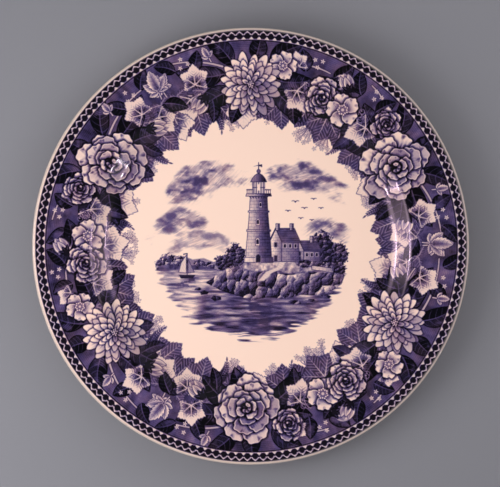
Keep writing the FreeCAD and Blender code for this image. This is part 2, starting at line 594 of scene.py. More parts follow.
def stroke(points, width, tone, blur=0.16, taper=0.0, edge=None):
    """A drawn line through the points. It thins towards its end by taper, and edge is its outline's tone."""
    across, up = [p.real for p in points], [p.imag for p in points]
    centre = complex((max(across) + min(across)) / 2, (max(up) + min(up)) / 2)
    spot, w = patch(centre, max(abs(p - centre) for p in points) + 2 * width + 1)
    gap, along = near(w, [p - centre for p in points])
    half = width / 2 * (1 - taper * along)
    if edge is not None:
        lay(spot, inside(gap - half - 0.3, blur), edge)
    lay(spot, inside(gap - half, blur), tone)


def dot(centre, radius, tone, edge=None):
    """A round spot, with a rim of its own tone if it has one."""
    spot, w = patch(centre, radius + 1)
    if edge is not None:
        lay(spot, inside(np.abs(w) - radius - 0.25), edge)
    lay(spot, inside(np.abs(w) - radius), tone)


def curl(start, direction, length, turn, count=12):
    """Points of a curve that starts off in a direction and turns by so many degrees on its way."""
    points = [start]
    for k in range(count):
        points.append(points[-1] + ray(direction + turn * (k + 0.5) / count) * length / count)
    return points


def outline(w, points):
    """The distance from each dot to a closed outline, negative within."""
    gap, _ = near(w, [*points, points[0]])
    odd = np.zeros(w.shape, bool)
    for a, b in zip(points, [*points[1:], points[0]]):
        if a.imag != b.imag:
            crosses = (a.imag > w.imag) != (b.imag > w.imag)
            at = a.real + (w.imag - a.imag) * (b.real - a.real) / (b.imag - a.imag)
            odd ^= crosses & (w.real < at)
    return np.where(odd, -gap, gap)


# %% [markdown]
# ### Leaves
#
# A leaf is drawn in its own frame: how far along its bent midrib a dot lies, and how far off it. Smooth
# leaves are nearly all ink and set off the blossoms. The broad toothed ones are the middle tone, and
# the small pale ones are left almost bare, with veins drawn in.

# %% leaves
def on_rib(base, direction, length, bend):
    """A leaf's part of the sheet, with each dot's share of its length and millimetres off its midrib."""
    middle = ray(direction) * length / 2
    spot, w = patch(base + middle, 0.6 * length + abs(bend) + 1)
    w = facing(w + np.complex64(middle), direction)
    share = w.real / length
    return spot, share, w.imag - 4 * bend * share * (1 - share)


def leaf_gap(share, off, length, width, foot=0.65, tip=0.9, teeth=0):
    """The distance to a leaf's outline. Low powers make its foot or its tip round, and high ones pointed."""
    within = np.clip(share, 1e-4, 1 - 1e-4)
    widest = foot / (foot + tip)
    full = widest**foot * (1 - widest) ** tip
    half = width / 2 * within**foot * (1 - within) ** tip / full
    if teeth:
        half = half * (0.86 + 0.28 * ((within * teeth) % 1))
    return np.maximum(np.abs(off) - half, np.maximum(-share, share - 1) * length)


def leaf(base, direction, length, width, bend=0.0, tones=(0.99, 0.9), rib=0.5, veins=6, teeth=0, edge=None):
    """A leaf with a midrib and side veins that bend forward. Its two halves have a tone each."""
    spot, share, off = on_rib(base, direction, length, bend)
    gap = leaf_gap(share, off, length, width, teeth=teeth)
    if edge is not None:
        lay(spot, inside(gap - 0.3), edge)
    tone = np.where(off > 0, tones[0], tones[1]) + 0 * off
    across = np.abs(off) / width
    slant = (veins * (share - 0.12 * across - 0.5 * across**2)) % 1
    if min(tones) > 0.8:
        vein_share = 0.34
        painted_edge_shade = rough(5.0, int(abs(direction * length)), spot, 3)
        bloom = smooth(painted_edge_shade, 0.52, 0.85) * smooth(-gap, 0.3, 1.8)
        tone -= bloom * (0.16 + 0.2 * smooth(np.cos(math.tau * (3 * slant + 0.5)), 0.0, 0.8))
        tone += 0.1 * smooth(gap, -0.9, -0.2)
    else:
        vein_share = 0.5
        core = smooth(-across, -0.42, -0.04) * np.clip(1.1 - share, 0, 1)
        etched = comb(off / 0.8 if veins == 0 else 3 * slant)
        tone += 0.95 * core * (0.45 + 0.55 * etched) * smooth(-gap, 0.1, 0.9)
    tone += (rib - tone) * vein_share * smooth(-np.abs(slant - 0.5), -0.09, -0.02) * smooth(-gap, 0, 0.8)
    tone += (rib - tone) * 0.8 * inside(np.abs(off) - 0.2 * (1.2 - share))
    lay(spot, inside(gap), np.clip(tone, 0, 1))


def fern(base, direction, length, bend, tone=0.95):
    """A curved frond with two rows of small leaflets."""
    tones = (tone, tone - 0.1)
    points = curl(base, direction, length, bend, 10)
    stroke(points, 0.7, tone, taper=0.5)
    for k in range(1, 10):
        for side in (-1, 1):
            size = length * (0.34 - 0.024 * k)
            heading = direction + bend * k / 10 + 46 * side
            leaf(points[k], heading, size, 0.36 * size, 0.1 * size * side, tones, 0.6, 0)
    leaf(points[-1], direction + bend, 0.2 * length, 0.06 * length, 0, tones, 0.6, 0)


# %% vine leaves and pale sprigs
def vine_leaf(centre, direction, size, seed, tone, edge_tone, rib=0.12):
    """A broad leaf with five pointed lobes and a toothed edge, and a feathered vein to each lobe."""
    rng = np.random.default_rng(seed)
    spot, w = patch(centre, 1.3 * size)
    w = facing(w, direction)
    distance, turn = polar(w)
    lobe = np.abs(np.abs(turn) / 1.12 - np.round(np.abs(turn) / 1.12))
    reach_out = 0.74 + 0.34 * (1 - 2 * lobe) ** 1.3 + 0.08 * np.cos(turn)
    teeth = 0.085 * (1 - (np.abs(turn) * (4.6 + 0.8 * rng.random())) % 1)
    notch = 0.5 * np.exp(-(((np.pi - np.abs(turn)) / 0.25) ** 2))
    gap = (distance - size * (reach_out + teeth - notch)) * 0.9
    heart = w + 0.35 * size
    ribs, feather = np.zeros((2, *w.shape), np.float32)
    nearest = np.full(w.shape, 9.0, np.float32)
    for aim in (0, 49, -49, 109, -109):
        leg = facing(heart, aim)
        apart = np.abs(np.angle(leg))
        here = apart < nearest
        nearest = np.where(here, apart, nearest)
        feather = np.where(here, (leg.real - 0.9 * np.abs(leg.imag)) / (0.21 * size), feather)
        rib_half = 0.30 * np.clip(1.1 - leg.real / (1.4 * size), 0.15, 1)
        ribs = np.maximum(ribs, inside(np.abs(leg.imag) - rib_half, 0.14) * (leg.real > 0))
    twig = smooth(-np.abs(feather % 1 - 0.5), -0.1, -0.02) * (feather > 0)
    pleat = comb(feather) - 0.5
    fine = comb(4 * feather) - 0.5
    shade = np.full(w.shape, tone, np.float32) + 0.16 * (rough(2.6, seed, spot, 2) - 0.5)
    shade += 0.16 * pleat + 0.10 * fine
    if edge_tone is not None:
        spread = np.abs(heart) / size + 0.3 * pleat + 0.2 * fine + 0.3 * (rough(1.8, seed + 9, spot, 2) - 0.5)
        shade += (edge_tone - shade) * smooth(spread, 0.45, 0.95)
    shade += (rib - shade) * np.maximum(ribs, 0.6 * twig)
    lay(spot, inside(gap - 0.3, 0.2) * 0.95, 0.9)
    lay(spot, inside(gap), np.clip(shade, 0, 1))


THREE_LEAFLETS = ((62, 0.6), (-58, 0.64), (4, 1.0))
FIVE_LEAFLETS = ((104, 0.5), (-98, 0.52), (48, 0.74), (-46, 0.78), (2, 1.0))


def pale_sprig(base, direction, size, leaflets):
    """Pale toothed leaflets on a thin stalk, each with its turn and its share of the size."""
    fork = base + ray(direction) * size * 0.42
    stroke(curl(base, direction, 0.42 * size, 0, 4), 0.6, 0.1, edge=0.9)
    for turn, share in leaflets:
        reach = size * share
        leaf(fork, direction + turn, reach, 0.56 * reach, 0.03 * size, (0.02, 0.17), 0.62, 5, 6, 0.93)


# %% [markdown]
# ### Blossoms and small things
#
# A blossom is built as it is drawn: outer petals first, each with a shadow on what lies below it, and
# the next ring over them. Fine lines that run to the blossom's heart shade each petal at its foot.

# %% petals
def petal(heart, centre, length, width, ruffles, seed, pale=0.0, dark=0.9, notch=0.0):
    """A petal about its middle. Its edge is ruffled on the outer side, with a fold behind each ruffle,
    its shade gathers at the heart, and a bare rim goes all round."""
    rng = np.random.default_rng(seed)
    out = centre - heart
    spot, w = patch(centre, 1.35 * max(length, width) + 1.5)
    turned = w * np.complex64(abs(out) / out)
    distance, turn = polar(turned.real / length + 1j * turned.imag / width)
    outer = smooth(np.cos(turn), -0.5, 0.3)
    phases = rng.random(4) * 6
    wave = np.cos(ruffles * turn + phases[0])
    ruffle = 1 + outer * (0.07 * wave + 0.05 * np.cos(2.3 * ruffles * turn + phases[1]))
    ruffle = ruffle - notch * np.exp(-((turn / 0.3) ** 2))
    gap = (distance - ruffle) * min(length, width)
    lay(spot, 0.97 * inside(gap - 0.8, 0.65), 0.99)
    reach, fan = polar(w + np.complex64(out))
    share = np.clip((reach - abs(out) + length) / (2 * length), 0, 1)
    rays = fan * (40 + 10 * rng.random()) * max(1, 9 / abs(out)) ** 0.4
    etched = 0.5 + 0.5 * np.cos(rays + 3 * rough(3.0, seed, spot, 1))
    folds = smooth(-wave, 0.25, 1.0) * outer * smooth(distance, 0.3, 0.75)
    shade = 3.0 * (1 - share) ** 3.2 * (0.45 + 0.75 * etched)
    shade = shade + 0.8 * folds * (0.4 + 0.6 * etched)
    pale = pale + 0.05 * (0.2 + 1.2 * rough(2.2, seed + 5, spot, 1))
    tone = pale + (dark - pale) * np.clip(shade, 0, 1)
    lay(spot, inside(gap, 0.14), 0.03 + (tone - 0.03) * smooth(-gap, 0.1, 0.75))


def shaded_side(angle):
    """How much a petal that points this way lies in shade, when light comes from the upper left."""
    return max(0.0, math.cos(math.radians(angle + 50)))


# %% large blossoms
PEONY_RINGS = (
    # petals, then reach, length and width as shares of the size, ruffles and paleness
    (7, 0.72, 0.29, 0.34, 4, 0.0),
    (6, 0.52, 0.25, 0.32, 4, 0.05),
    (5, 0.35, 0.20, 0.26, 3, 0.2),
    (5, 0.23, 0.12, 0.17, 3, 0.0),
)
DAHLIA_RINGS = ((17, 1.0), (15, 0.82), (13, 0.64), (10, 0.47), (7, 0.32))
GOLDEN_TURN = 137.5                # degrees from one dot of a dahlia's heart to the next


def peony(centre, size, turn, seed):
    """A full blossom: broad ruffled petals in four rings round a dark hollow, with a few small ones in it."""
    rng = np.random.default_rng(seed)
    for ring, (count, reach, length, width, ruffles, pale) in enumerate(PEONY_RINGS):
        for k in range(count):
            angle = turn + 360 * (k + 0.5 * (ring % 2) + 0.5 * (rng.random() - 0.5)) / count
            spread = 1 + 0.3 * (rng.random() - 0.5)
            middle = centre + ray(angle) * size * reach * (0.45 + 0.55 * spread)
            dim = 0.3 * shaded_side(angle) * rng.random() + (0.0 if rng.random() < 0.7 else 0.16)
            long, wide = size * length * spread, size * width * spread
            petal(centre, middle, long, wide, ruffles, seed + 31 * ring + k, pale + dim)
    spot, w = patch(centre, 0.4 * size)
    hollow = np.abs(w) - 0.2 * size * (0.75 + 0.5 * rough(1.5, seed, spot, 1))
    lay(spot, inside(hollow, 0.4), 0.99 - 0.25 * smooth(rough(0.9, seed + 2, spot, 1), 0.55, 0.9))
    for k in range(4):
        middle = centre + ray(turn + 58 * k + 200) * 0.10 * size
        petal(centre, middle, 0.05 * size, 0.075 * size, 2, seed + k, 0.1)


def dahlia(centre, size, turn, seed):
    """A blossom of slender petals in five rings round a dotted heart."""
    rng = np.random.default_rng(seed)
    for ring, (count, reach) in enumerate(DAHLIA_RINGS):
        for k in range(count):
            angle = turn + 360 * (k + 0.5 * (ring % 2) + 0.35 * (rng.random() - 0.5)) / count
            length = size * reach * (1 + 0.14 * (rng.random() - 0.5))
            base = centre + ray(angle) * 0.12 * length
            spot, share, off = on_rib(base, angle, 0.9 * length, 0.12 * length * (rng.random() - 0.5))
            gap = leaf_gap(share, off, 0.9 * length, 0.23 * length + 0.9, 0.9, 0.6)
            lay(spot, 0.97 * inside(np.maximum(gap - 0.5, -off - 0.3 * length), 0.5), 0.99)
            crease = smooth(-np.abs(off), -0.5, -0.05) * smooth(-share, -0.9, -0.5)
            shade = 1.6 * (1 - np.clip(share, 0, 1)) ** 2.6 * (0.85 + 0.3 * comb(off, 0.75)) + 0.4 * crease
            pale = 0.02 + 0.36 * shaded_side(angle) * rng.random() + (0.0 if rng.random() < 0.75 else 0.16)
            shade = shade + 0.5 * smooth(off, 0.02 * length, 0.11 * length) * (1 - share)
            shade = shade * smooth(-gap, 0.05, 0.5)
            lay(spot, inside(gap, 0.14), np.clip(pale + (0.95 - pale) * shade, 0, 1))
    dot(centre, 0.13 * size, 0.99)
    for k in range(12):
        dot(centre + ray(GOLDEN_TURN * k) * 0.032 * size * math.sqrt(k), 0.40, 0.12)


def wild_rose(centre, size, turn, seed):
    """An open blossom of five notched petals, with a ring of stamens."""
    for k in range(5):
        middle = centre + ray(turn + 72 * k) * 0.56 * size
        petal(centre, middle, 0.44 * size, 0.45 * size, 4, seed + k, 0.0, 0.8, 0.16)
    spot, w = patch(centre, 0.4 * size)
    lay(spot, 0.85 * inside(np.abs(w) - 0.2 * size, 0.5), 0.8)
    for k in range(14):
        tip = centre + ray(turn + 360 * k / 14) * size * (0.24 + 0.05 * (k % 2))
        stroke([centre + (tip - centre) * 0.4, tip], 0.3, 0.25)
        dot(tip, 0.5, 0.05, 0.8)
    dot(centre, 0.1 * size, 0.15, 0.8)


# %% buds and small things
BUD_PETALS = (
    # turn, then length, width and bend as shares of the size, tones, rib and edge
    (0, 1.0, 0.62, 0, (0.06, 0.30), 0.5, None),
    (-14, 0.92, 0.42, -0.10, (0.03, 0.22), 0.4, 0.85),
    (14, 0.92, 0.42, 0.10, (0.03, 0.22), 0.4, 0.85),
    (0, 0.78, 0.36, 0, (0.02, 0.12), 0.35, 0.85),
)


def bud(base, direction, size):
    """A half-open bud in dark sepals on a stalk."""
    heart = base + ray(direction) * 0.2 * size
    for turn, length, width, bend, tones, rib, edge in BUD_PETALS:
        leaf(heart, direction + turn, length * size, width * size, bend * size, tones, rib, 0, 0, edge)
    for side in (-1, 0, 1):
        leaf(base, direction + 34 * side, 0.62 * size, 0.26 * size, -0.05 * size * side, (0.98, 0.9), 0.6, 0)
    dot(heart, 0.16 * size, 0.95)


def floret(centre, radius, turn, tone, edge, heart):
    """A tiny five-petalled flower."""
    spot, w = patch(centre, 1.4 * radius + 1)
    distance, angle = polar(w)
    shape = distance - radius * (0.72 + 0.34 * np.cos(5 * (angle - math.radians(turn))))
    if edge is not None:
        lay(spot, inside(shape - 0.26), edge)
    lay(spot, inside(shape), tone)
    lay(spot, inside(distance - 0.24 * radius), heart)


def lace(base, direction, size, seed):
    """A loose spray of florets on hair-thin stalks, which reaches out on to the bare ground."""
    rng = np.random.default_rng(seed)
    for _ in range(15):
        angle = direction + 75 * (rng.random() - 0.5)
        tip = base + ray(angle) * size * (0.35 + 0.65 * rng.random())
        stroke([base, (base + tip) / 2 + ray(angle + 90) * 0.4, tip], 0.26, 0.55)
        floret(tip, 0.95 + 0.35 * rng.random(), 72 * rng.random(), 0.03, 0.6, 0.5)


def stars(centre, size, seed):
    """Three tiny open flowers on the ground."""
    for k in range(3):
        floret(centre + ray(120 * k + 17 * seed) * size, 1.25, 31 * k, 0.06, None, 0.4)


def berries(base, direction, size, seed):
    """A hanging cluster of dark berries, each with a small light on it."""
    rng = np.random.default_rng(seed)
    for k in range(11):
        reach = size * (0.25 + 0.75 * math.sqrt((k + 0.5) / 11))
        berry = base + ray(direction + 60 * (rng.random() - 0.5)) * reach
        dot(berry, 1.15, 0.97, 0.3)
        dot(berry + 0.4j - 0.35, 0.33, 0.15)


# %% [markdown]
# ### The edge band and the ground
#
# The outermost ornament is an old one: a row of dark beads, with a pale chevron over each, small pale
# darts between them, and a pale line that the darts stand on. It is counted out round the plate, so it
# is worked out from the angle alone. Inside it, past a dark line, lies the mottled ground that the
# flowers stand on.

# %% edge band and ground
BEADS = 168                        # round the plate
BEAD_ROW = 113.0                   # radius of the beads' middles
BAND_FROM = 110.85                 # radius at which the band begins, outside its dark line
BAND_TO = 115.95                   # and at which it ends in bare glaze
GROUND_FROM = 84.0                 # radius inside which leaves hide the ground's end


def bead_band():
    """Dark beads, each under a pale chevron, with small pale darts between them on a pale line."""
    distance, turn = polar(place)
    half = math.pi * BEAD_ROW / BEADS
    across = np.abs((turn / math.tau * BEADS) % 1 - 0.5) * 2 * half
    up = distance - BEAD_ROW
    lay(ALL, inside(BAND_FROM - 0.55 - distance), 0.96)
    lay(ALL, inside(BAND_TO - distance), 0.0)
    rise = up + 1.9 * across / half
    round_bead = np.maximum(1.4 - np.hypot(across, up), 0.25 - up)
    chevron = np.maximum(np.maximum(rise - 2.55, 1.58 - rise) * 0.74, round_bead)
    darts = np.maximum(half - across + 0.95 * (up + 0.45), up + 0.5)
    line = np.abs(up + 1.98) - 0.17
    pale = np.minimum(np.minimum(chevron, darts), line)
    lay(ALL, inside(np.maximum(pale, BAND_FROM - distance) + 0.03, 0.14), 0.1)


def ground():
    """The mottled wash under the flowers, which fades out below the leaves."""
    distance = np.abs(place)
    mottle = 0.55 * rough(13, 21, octaves=3) + 0.45 * rough(3.2, 33, octaves=3)
    ruled = np.cos(math.tau * distance / 0.95) * smooth(distance, 97, 108)
    fanned = place / np.maximum(distance, 1) * (30 + distance / 14)
    streaks = grain(fanned.real + 90, fanned.imag + 90, 37, 2) - 0.5
    tone = 0.70 + 0.5 * (mottle - 0.5) + 0.22 * streaks + 0.05 * ruled
    lay(ALL, inside(distance - BAND_FROM) * smooth(distance, GROUND_FROM, GROUND_FROM + 2), tone)


# %% [markdown]
# ### The floral border
#
# One spray of flowers fills a sixth of the ring. Every second spray is mirrored, and a peony and a
# dahlia take turns in leading it. A motif's place is its radius and its angle from the spray's middle,
# its direction is counted from straight outwards, and each is a little off, as in work done by hand.
# All sprays are drawn layer by layer, so that no leaf of one lies on a blossom of the next.

# %% what a spray holds
SPRAYS = 6
BACK_VINE = (
    # radius, angle, size
    (87, -27, 7.6), (86, -18, 7.2), (87, -9, 7.6), (86, 0, 7.4), (87, 9, 7.4), (86, 18, 7.4), (87, 26, 7.2),
)
LACE = ((74, -10, 10.5), (75, 9, 9.5), (73, 26, 10.5))
FRONT_VINE = (
    # radius, angle, direction, size, tone
    (79.0, -29, 168, 8.8, 0.76), (77.0, -21, 190, 9.4, 0.70), (80.0, -13, 158, 8.4, 0.80),
    (76.5, -4, 184, 9.6, 0.74), (79.5, 5, 205, 8.6, 0.80), (77.0, 13, 172, 9.2, 0.74),
    (79.5, 22, 196, 8.8, 0.80), (78.0, 30.5, 178, 9.2, 0.74),
)
STEMS = ((97, -8, -72, 32, -34), (99, 9, 66, 26, 38), (88, -10, -118, 20, 40))
DARK_LEAVES = (
    # radius, angle, direction, length, width, bend
    (99, -6, -50, 21, 10.5, 1.8), (93, -8, -84, 27, 12.0, -2.2), (86, -7, -118, 24, 11.5, 1.8),
    (81, -3, -158, 16, 9, 0.8), (99, 6, 48, 20, 10.5, -1.8), (92, 8, 88, 22, 11.5, 2.0),
    (85, 7, 124, 23, 11.5, -1.6), (101, 0, 8, 13, 10, 0.5), (101, 25, 40, 13, 8.5, 1.2),
    (96, 29, 80, 15, 8.5, 1.0), (88, 27, 128, 16, 8.5, -1.0), (90, 21, 196, 14, 8.0, 0.8),
    (103, -24, -50, 12, 7.5, 1.0), (90, -28, -130, 13, 7.5, 0.8), (82, 17, 168, 13, 7.0, 0.8),
    (81, -14, 200, 12, 6.5, -0.8), (99, -19, 30, 12, 8.0, 0.6), (98, 18, -20, 12, 8.0, 0.6),
)
IVORY_LEAVES = ((94.5, -19, 20, 7.2), (86, 17.5, 150, 7.8), (83, -24, 200, 7.0), (101, 14.5, -30, 5.4))
PALE_SPRIGS = ((92, -29.5, -8, 11.5, FIVE_LEAFLETS), (101.5, -13, -8, 6.5, THREE_LEAFLETS))


# %% the sprays
def spray_frame(number):
    """How a spray turns its own radius and angle into a place and a direction on the sheet."""
    turn = 90 + 360 / SPRAYS * number
    flip = 1 if number % 2 else -1
    wander = np.random.default_rng(100 + number)

    def spot(radius, degrees):
        """A place in the spray, a little off."""
        off = wander.random(2) - 0.5
        return (radius + 1.8 * off[0]) * ray(turn + flip * (degrees + 2.4 * off[1]))

    def at(radius, degrees, out):
        """A place, and a direction counted from straight outwards."""
        place_there = spot(radius, degrees)
        return place_there, turn + flip * (degrees + out) + 18 * (wander.random() - 0.5)

    return spot, at, flip


def foliage(number):
    """The lowest layer: vine leaves, some with pale edges, lace on the bare ware, and ferns."""
    _, at, flip = spray_frame(number)
    for place_in, (radius, degrees, size) in enumerate(BACK_VINE):
        vine_leaf(*at(radius, degrees, 180), size, 11 * place_in + number, 0.70, None, 0.35)
    for radius, degrees, size in LACE:
        lace(*at(radius, degrees, 180), size, number * 5 + radius)
    for place_in, (radius, degrees, out, size, tone) in enumerate(FRONT_VINE):
        edge_tone = 0.05 if (place_in * 2 + number) % 5 == 1 else None
        vine_leaf(*at(radius, degrees, out), size, 7 * place_in + number, tone, edge_tone)
    fern(*at(77, -15, 150), 12.5, 50 * flip)
    if number % 2:
        fern(*at(78, 19, 205), 11.5, -50 * flip)


def stems_and_leaves(number):
    """The middle layer: stems, dark leaves, pale leaves and sprigs, berries and stars."""
    spot, at, flip = spray_frame(number + SPRAYS)
    for radius, degrees, out, length, bow in STEMS:
        stroke(curl(*at(radius, degrees, out), length, flip * bow), 1.15, 0.22, edge=0.97, taper=0.35)
    for radius, degrees, out, length, width, bow in DARK_LEAVES:
        leaf(*at(radius, degrees, out), length, width, flip * bow)
    for place_in, (radius, degrees, out, size) in enumerate(IVORY_LEAVES):
        vine_leaf(*at(radius, degrees, out), size, 5 * place_in + number, 0.88, 0.07, 0.08)
    for radius, degrees, out, size, leaflets in PALE_SPRIGS:
        pale_sprig(*at(radius, degrees, out), size, leaflets)
    berries(*at(91, 17, 100), 7.0, number)
    stars(spot(104.5, -20), 2.7, number)
    stars(spot(105, 21), 2.4, number + 1)


def blossoms(number):
    """The top layer: the leading blossom, two smaller ones half behind it, and buds."""
    spot, at, _ = spray_frame(number + 2 * SPRAYS)
    bud(*at(86, -17, -120), 10.5)
    bud(*at(98, 27, 55), 9.5)
    if number % 2:
        peony(spot(97.5, 12), 8.2, 40 * number, number + 3)
        wild_rose(spot(89, 26), 9.0, 20 * number, number)
        peony(spot(88.0, -1), 17.4, 15 * number, number)
    else:
        wild_rose(spot(98, 10.5), 7.8, 31 * number, number)
        peony(spot(89, 25), 10.0, 20 * number, number)
        dahlia(spot(88.0, -1), 16.5, 11 * number, number)


def border():
    """Ground, sprays and edge band, from the lowest layer up."""
    ground()
    for layer in (foliage, stems_and_leaves, blossoms):
        for number in range(SPRAYS):
            layer(number)
    bead_band()


# %% [markdown]
# ### The view in the well
#
# The well holds a made-up stretch of coast: a stone lighthouse on its rock, the keeper's cottage, a
# sailing boat and some gulls. It is drawn from far to near, and every form is a closed outline with a
# shading rule inside it, which says the tone from each dot's place and its distance to the outline.
# Light comes from the left, so each form is barest on that side.

# %% helpers for the view
def shape(points, rule, blur=0.12, line=0.0):
    """Fills an outline by a shading rule, and draws round it if a line's tone is given."""
    middle = sum(points) / len(points)
    spot, w = patch(middle, max(abs(p - middle) for p in points) + 1)
    gap = outline(w, [p - middle for p in points])
    lay(spot, inside(gap, blur), np.clip(rule(w + np.complex64(middle), gap, spot), 0, 1))
    if line:
        lay(spot, inside(np.abs(gap) - 0.13, 0.1), line)


def oblong(left, right, low, high):
    """The corners of an upright rectangle."""
    return [complex(left, low), complex(right, low), complex(right, high), complex(left, high)]


def hatch(w, direction, pitch):
    """Engraved lines across a form, from 0 between them to 1 on them."""
    return comb(facing(w, direction).imag, pitch)


def even(tone, depth=0.0, direction=0.0, pitch=0.9):
    """A shading rule of one tone, with engraved lines in it if they have a depth."""
    return lambda w, gap, spot: tone + depth * (hatch(w, direction, pitch) - 0.5) * 2


def mottled(tone, size, contrast, seed, octaves=4, lines=(0, 0, 1)):
    """A shading rule of blots, with engraved lines over them."""
    depth, direction, pitch = lines
    return lambda w, gap, spot: (
        tone + contrast * (rough(size, seed, spot, octaves) - 0.5) + depth * hatch(w, direction, pitch))


def masonry(tone_left, tone_right, left, right, course=1.75, block=3.0):
    """The shading rule of a stone wall that is lit from the left, with its courses and joints."""
    def rule(w, gap, spot):
        across = np.clip((w.real - left) / (right - left), 0, 1)
        row = w.imag / course
        joint_row = np.abs((row % 1) - 0.5)
        joint = np.abs(((w.real / block + 0.5 * (np.floor(row) % 2)) % 1) - 0.5)
        joints = 0.22 * smooth(joint_row, 0.40, 0.47) + 0.2 * smooth(joint, 0.44, 0.48)
        blocks = 0.16 * (rough(2.2, 71, spot, 2) - 0.5)
        tone = tone_left + (tone_right - tone_left) * smooth(across, 0.15, 0.95)
        return tone + joints + blocks + 0.15 * smooth(gap, -0.35, -0.05)
    return rule


# %% clouds, rocks and bushes
def cloud(centre, width, height, lean, seed, tone):
    """A wisp of cloud: billows along a leaning arc, worked in fine strokes that trail off at its rim."""
    spot, w = patch(centre, 0.8 * width)
    along = facing(w, lean)
    x, y = along.real / (0.5 * width), along.imag / (0.5 * height)
    y = y + 0.9 * x * x - 0.3
    body = 1 - x * x - np.where(y > 0, 1.5, 0.7) * y * y
    body = body + 1.9 * (grain(along.real / 9 + 9, along.imag / 4 + 9, seed, 5) - 0.52)
    way = facing(w, lean + 28)
    strokes = grain(way.real / 4.5 + 50, way.imag / 0.55 + 50, seed + 5, 2)
    billows = grain(w.real / 5.0 + 40, w.imag / 3.5 + 40, seed + 9, 3)
    depth = smooth(body, -0.2, 0.9) * (0.35 + 0.65 * smooth(billows, 0.3, 0.75))
    lay(spot, depth * smooth(strokes + 0.8 * depth, 0.28, 0.95), tone)


def facets(w, size, tall, seed):
    """Broken stone or clumped leaves: for each dot its facet's random number, how near the dot lies to
    the next facet, and how far it faces away from light at the upper left."""
    table = np.random.default_rng(seed).random((3, 256, 256), np.float32)
    u, v = w.real / size + 90, w.imag / (size * tall) + 90
    column, row = np.floor(u).astype(int), np.floor(v).astype(int)
    first, second = np.full(w.shape, 9.0), np.full(w.shape, 9.0)
    mark, turned = np.zeros(w.shape), np.zeros(w.shape)
    for i in (-1, 0, 1):
        for j in (-1, 0, 1):
            a, b = column + i, row + j
            across, up = u - a - table[0, a, b], v - b - table[1, a, b]
            gap = np.hypot(across, up)
            second = np.minimum(second, np.maximum(first, gap))
            mark = np.where(gap < first, table[2, a, b], mark)
            turned = np.where(gap < first, 0.7 * across - 0.7 * up, turned)
            first = np.minimum(first, gap)
    return mark, (second - first) * size, turned


def bush(centre, width, height, seed, tone):
    """A clump of leaves: a ragged outline, boughs lit from the upper left, and leaf dabs over them."""
    spot, w = patch(centre, 0.8 * max(width, height) + 1)
    bent = w + 1.2 * (grain(w.real / 1.4 + 70, w.imag / 1.4 + 70, seed, 2) - 0.5)
    mark, _, turned = facets(bent, 2.6, 0.8, seed)
    small, crack, leafed = facets(w, 0.75, 1.0, seed + 1)
    gap = np.hypot(w.real / (0.5 * width), w.imag / (0.5 * height)) - 0.98
    gap = gap + 0.3 * (mark - 0.5) - 0.24 * (small - 0.5)
    shade = tone + 0.75 * turned + 0.25 * (mark - 0.5) + 0.3 * (small - 0.5) + 0.35 * leafed
    shade += 0.25 * w.real / width + 0.3 * smooth(-crack, -0.25, -0.05)
    lay(spot, inside(gap * 0.4 * min(width, height), 0.14), np.clip(shade, 0.05, 1))


def crag(points, seed, tone=0.66, size=4.4):
    """Rock: tall broken facets, bare where they face the light, with dark clefts and a hatching each."""
    def rule(w, gap, spot):
        bent = w + 2.6 * (grain(w.real / 3 + 60, w.imag / 3 + 60, seed, 3) - 0.5)
        bent = bent + 1.8j * (grain(w.real / 4 + 30, w.imag / 4 + 30, seed + 3, 3) - 0.5)
        mark, cleft, turned = facets(bent, size, 1.6, seed)
        small, _, chipped = facets(bent, 0.36 * size, 1.4, seed + 1)
        etched = np.cos(math.tau * (w.real * np.cos(4 * mark) + w.imag * np.sin(4 * mark)) / 0.85)
        shade = tone + 0.34 * (mark - 0.5) + 0.85 * turned + 0.30 * chipped + 0.16 * (small - 0.5)
        shade += 0.08 * etched
        shade += 0.3 * smooth(-cleft, -0.5, -0.1) * smooth(turned, -0.1, 0.3)
        return shade + 0.2 * smooth(gap, -0.9, -0.1) - 0.012 * (w.imag + 18)
    shape(points, rule)


# %% sky and sea
HORIZON = -13.0
VIEW = 54.0                        # how far the view reaches from its middle
CLOUDS = (
    # middle, width, height, lean, seed, tone
    (-26 + 36j, 52, 19, 17, 3, 0.74), (-38 + 13j, 36, 15, 3, 8, 0.62), (29 + 37j, 50, 17, -9, 25, 0.74),
    (40 + 9j, 32, 15, 6, 12, 0.62), (-24 + 2j, 40, 12, -4, 31, 0.45),
)
GULLS = (
    # place, span of a wing
    (24 + 24j, 2.5), (29 + 20.5j, 2.1), (20 + 19j, 1.9), (34 + 25.5j, 1.9), (27 + 15j, 1.8),
    (38 + 20.5j, 1.7), (33 + 14j, 1.6),
)
FAR_HILLS = [
    -51 - 13j, -48 - 9.6j, -43 - 6.6j, -37 - 5.4j, -32 - 7.4j, -26 - 6.6j, -18 - 9.8j, -8 - 10.8j, 4 - 13j]
SHORE = [-52 - 13.1j, -50 - 10.9j, -45 - 9.8j, -38 - 11.2j, -31 - 10.4j, -22 - 12.2j, -17 - 13.1j]
SHORE_TREES = ((-49 - 10.6j, 6), (-44.5 - 9j, 9), (-39 - 9.4j, 7.5), (-28 - 10.4j, 6), (-23 - 11.2j, 5))


def sky():
    """Banks of cloud, gulls and far hills."""
    for wisp in CLOUDS:
        cloud(*wisp)
    for gull, span in GULLS:
        for way, turn in ((62, -95), (118, 95)):
            stroke(curl(gull, way, 0.9 * span, turn, 4), 0.45, 0.92, taper=0.6)
    shape(FAR_HILLS, mottled(0.34, 5, 0.5, 17, lines=(0.09, 70, 0.8)), 0.3)
    for number, (tree, size) in enumerate(SHORE_TREES):
        bush(tree, 1.2 * size, size, 90 + number, 0.62)
    shape(SHORE, mottled(0.72, 2.4, 0.7, 19), 0.25)


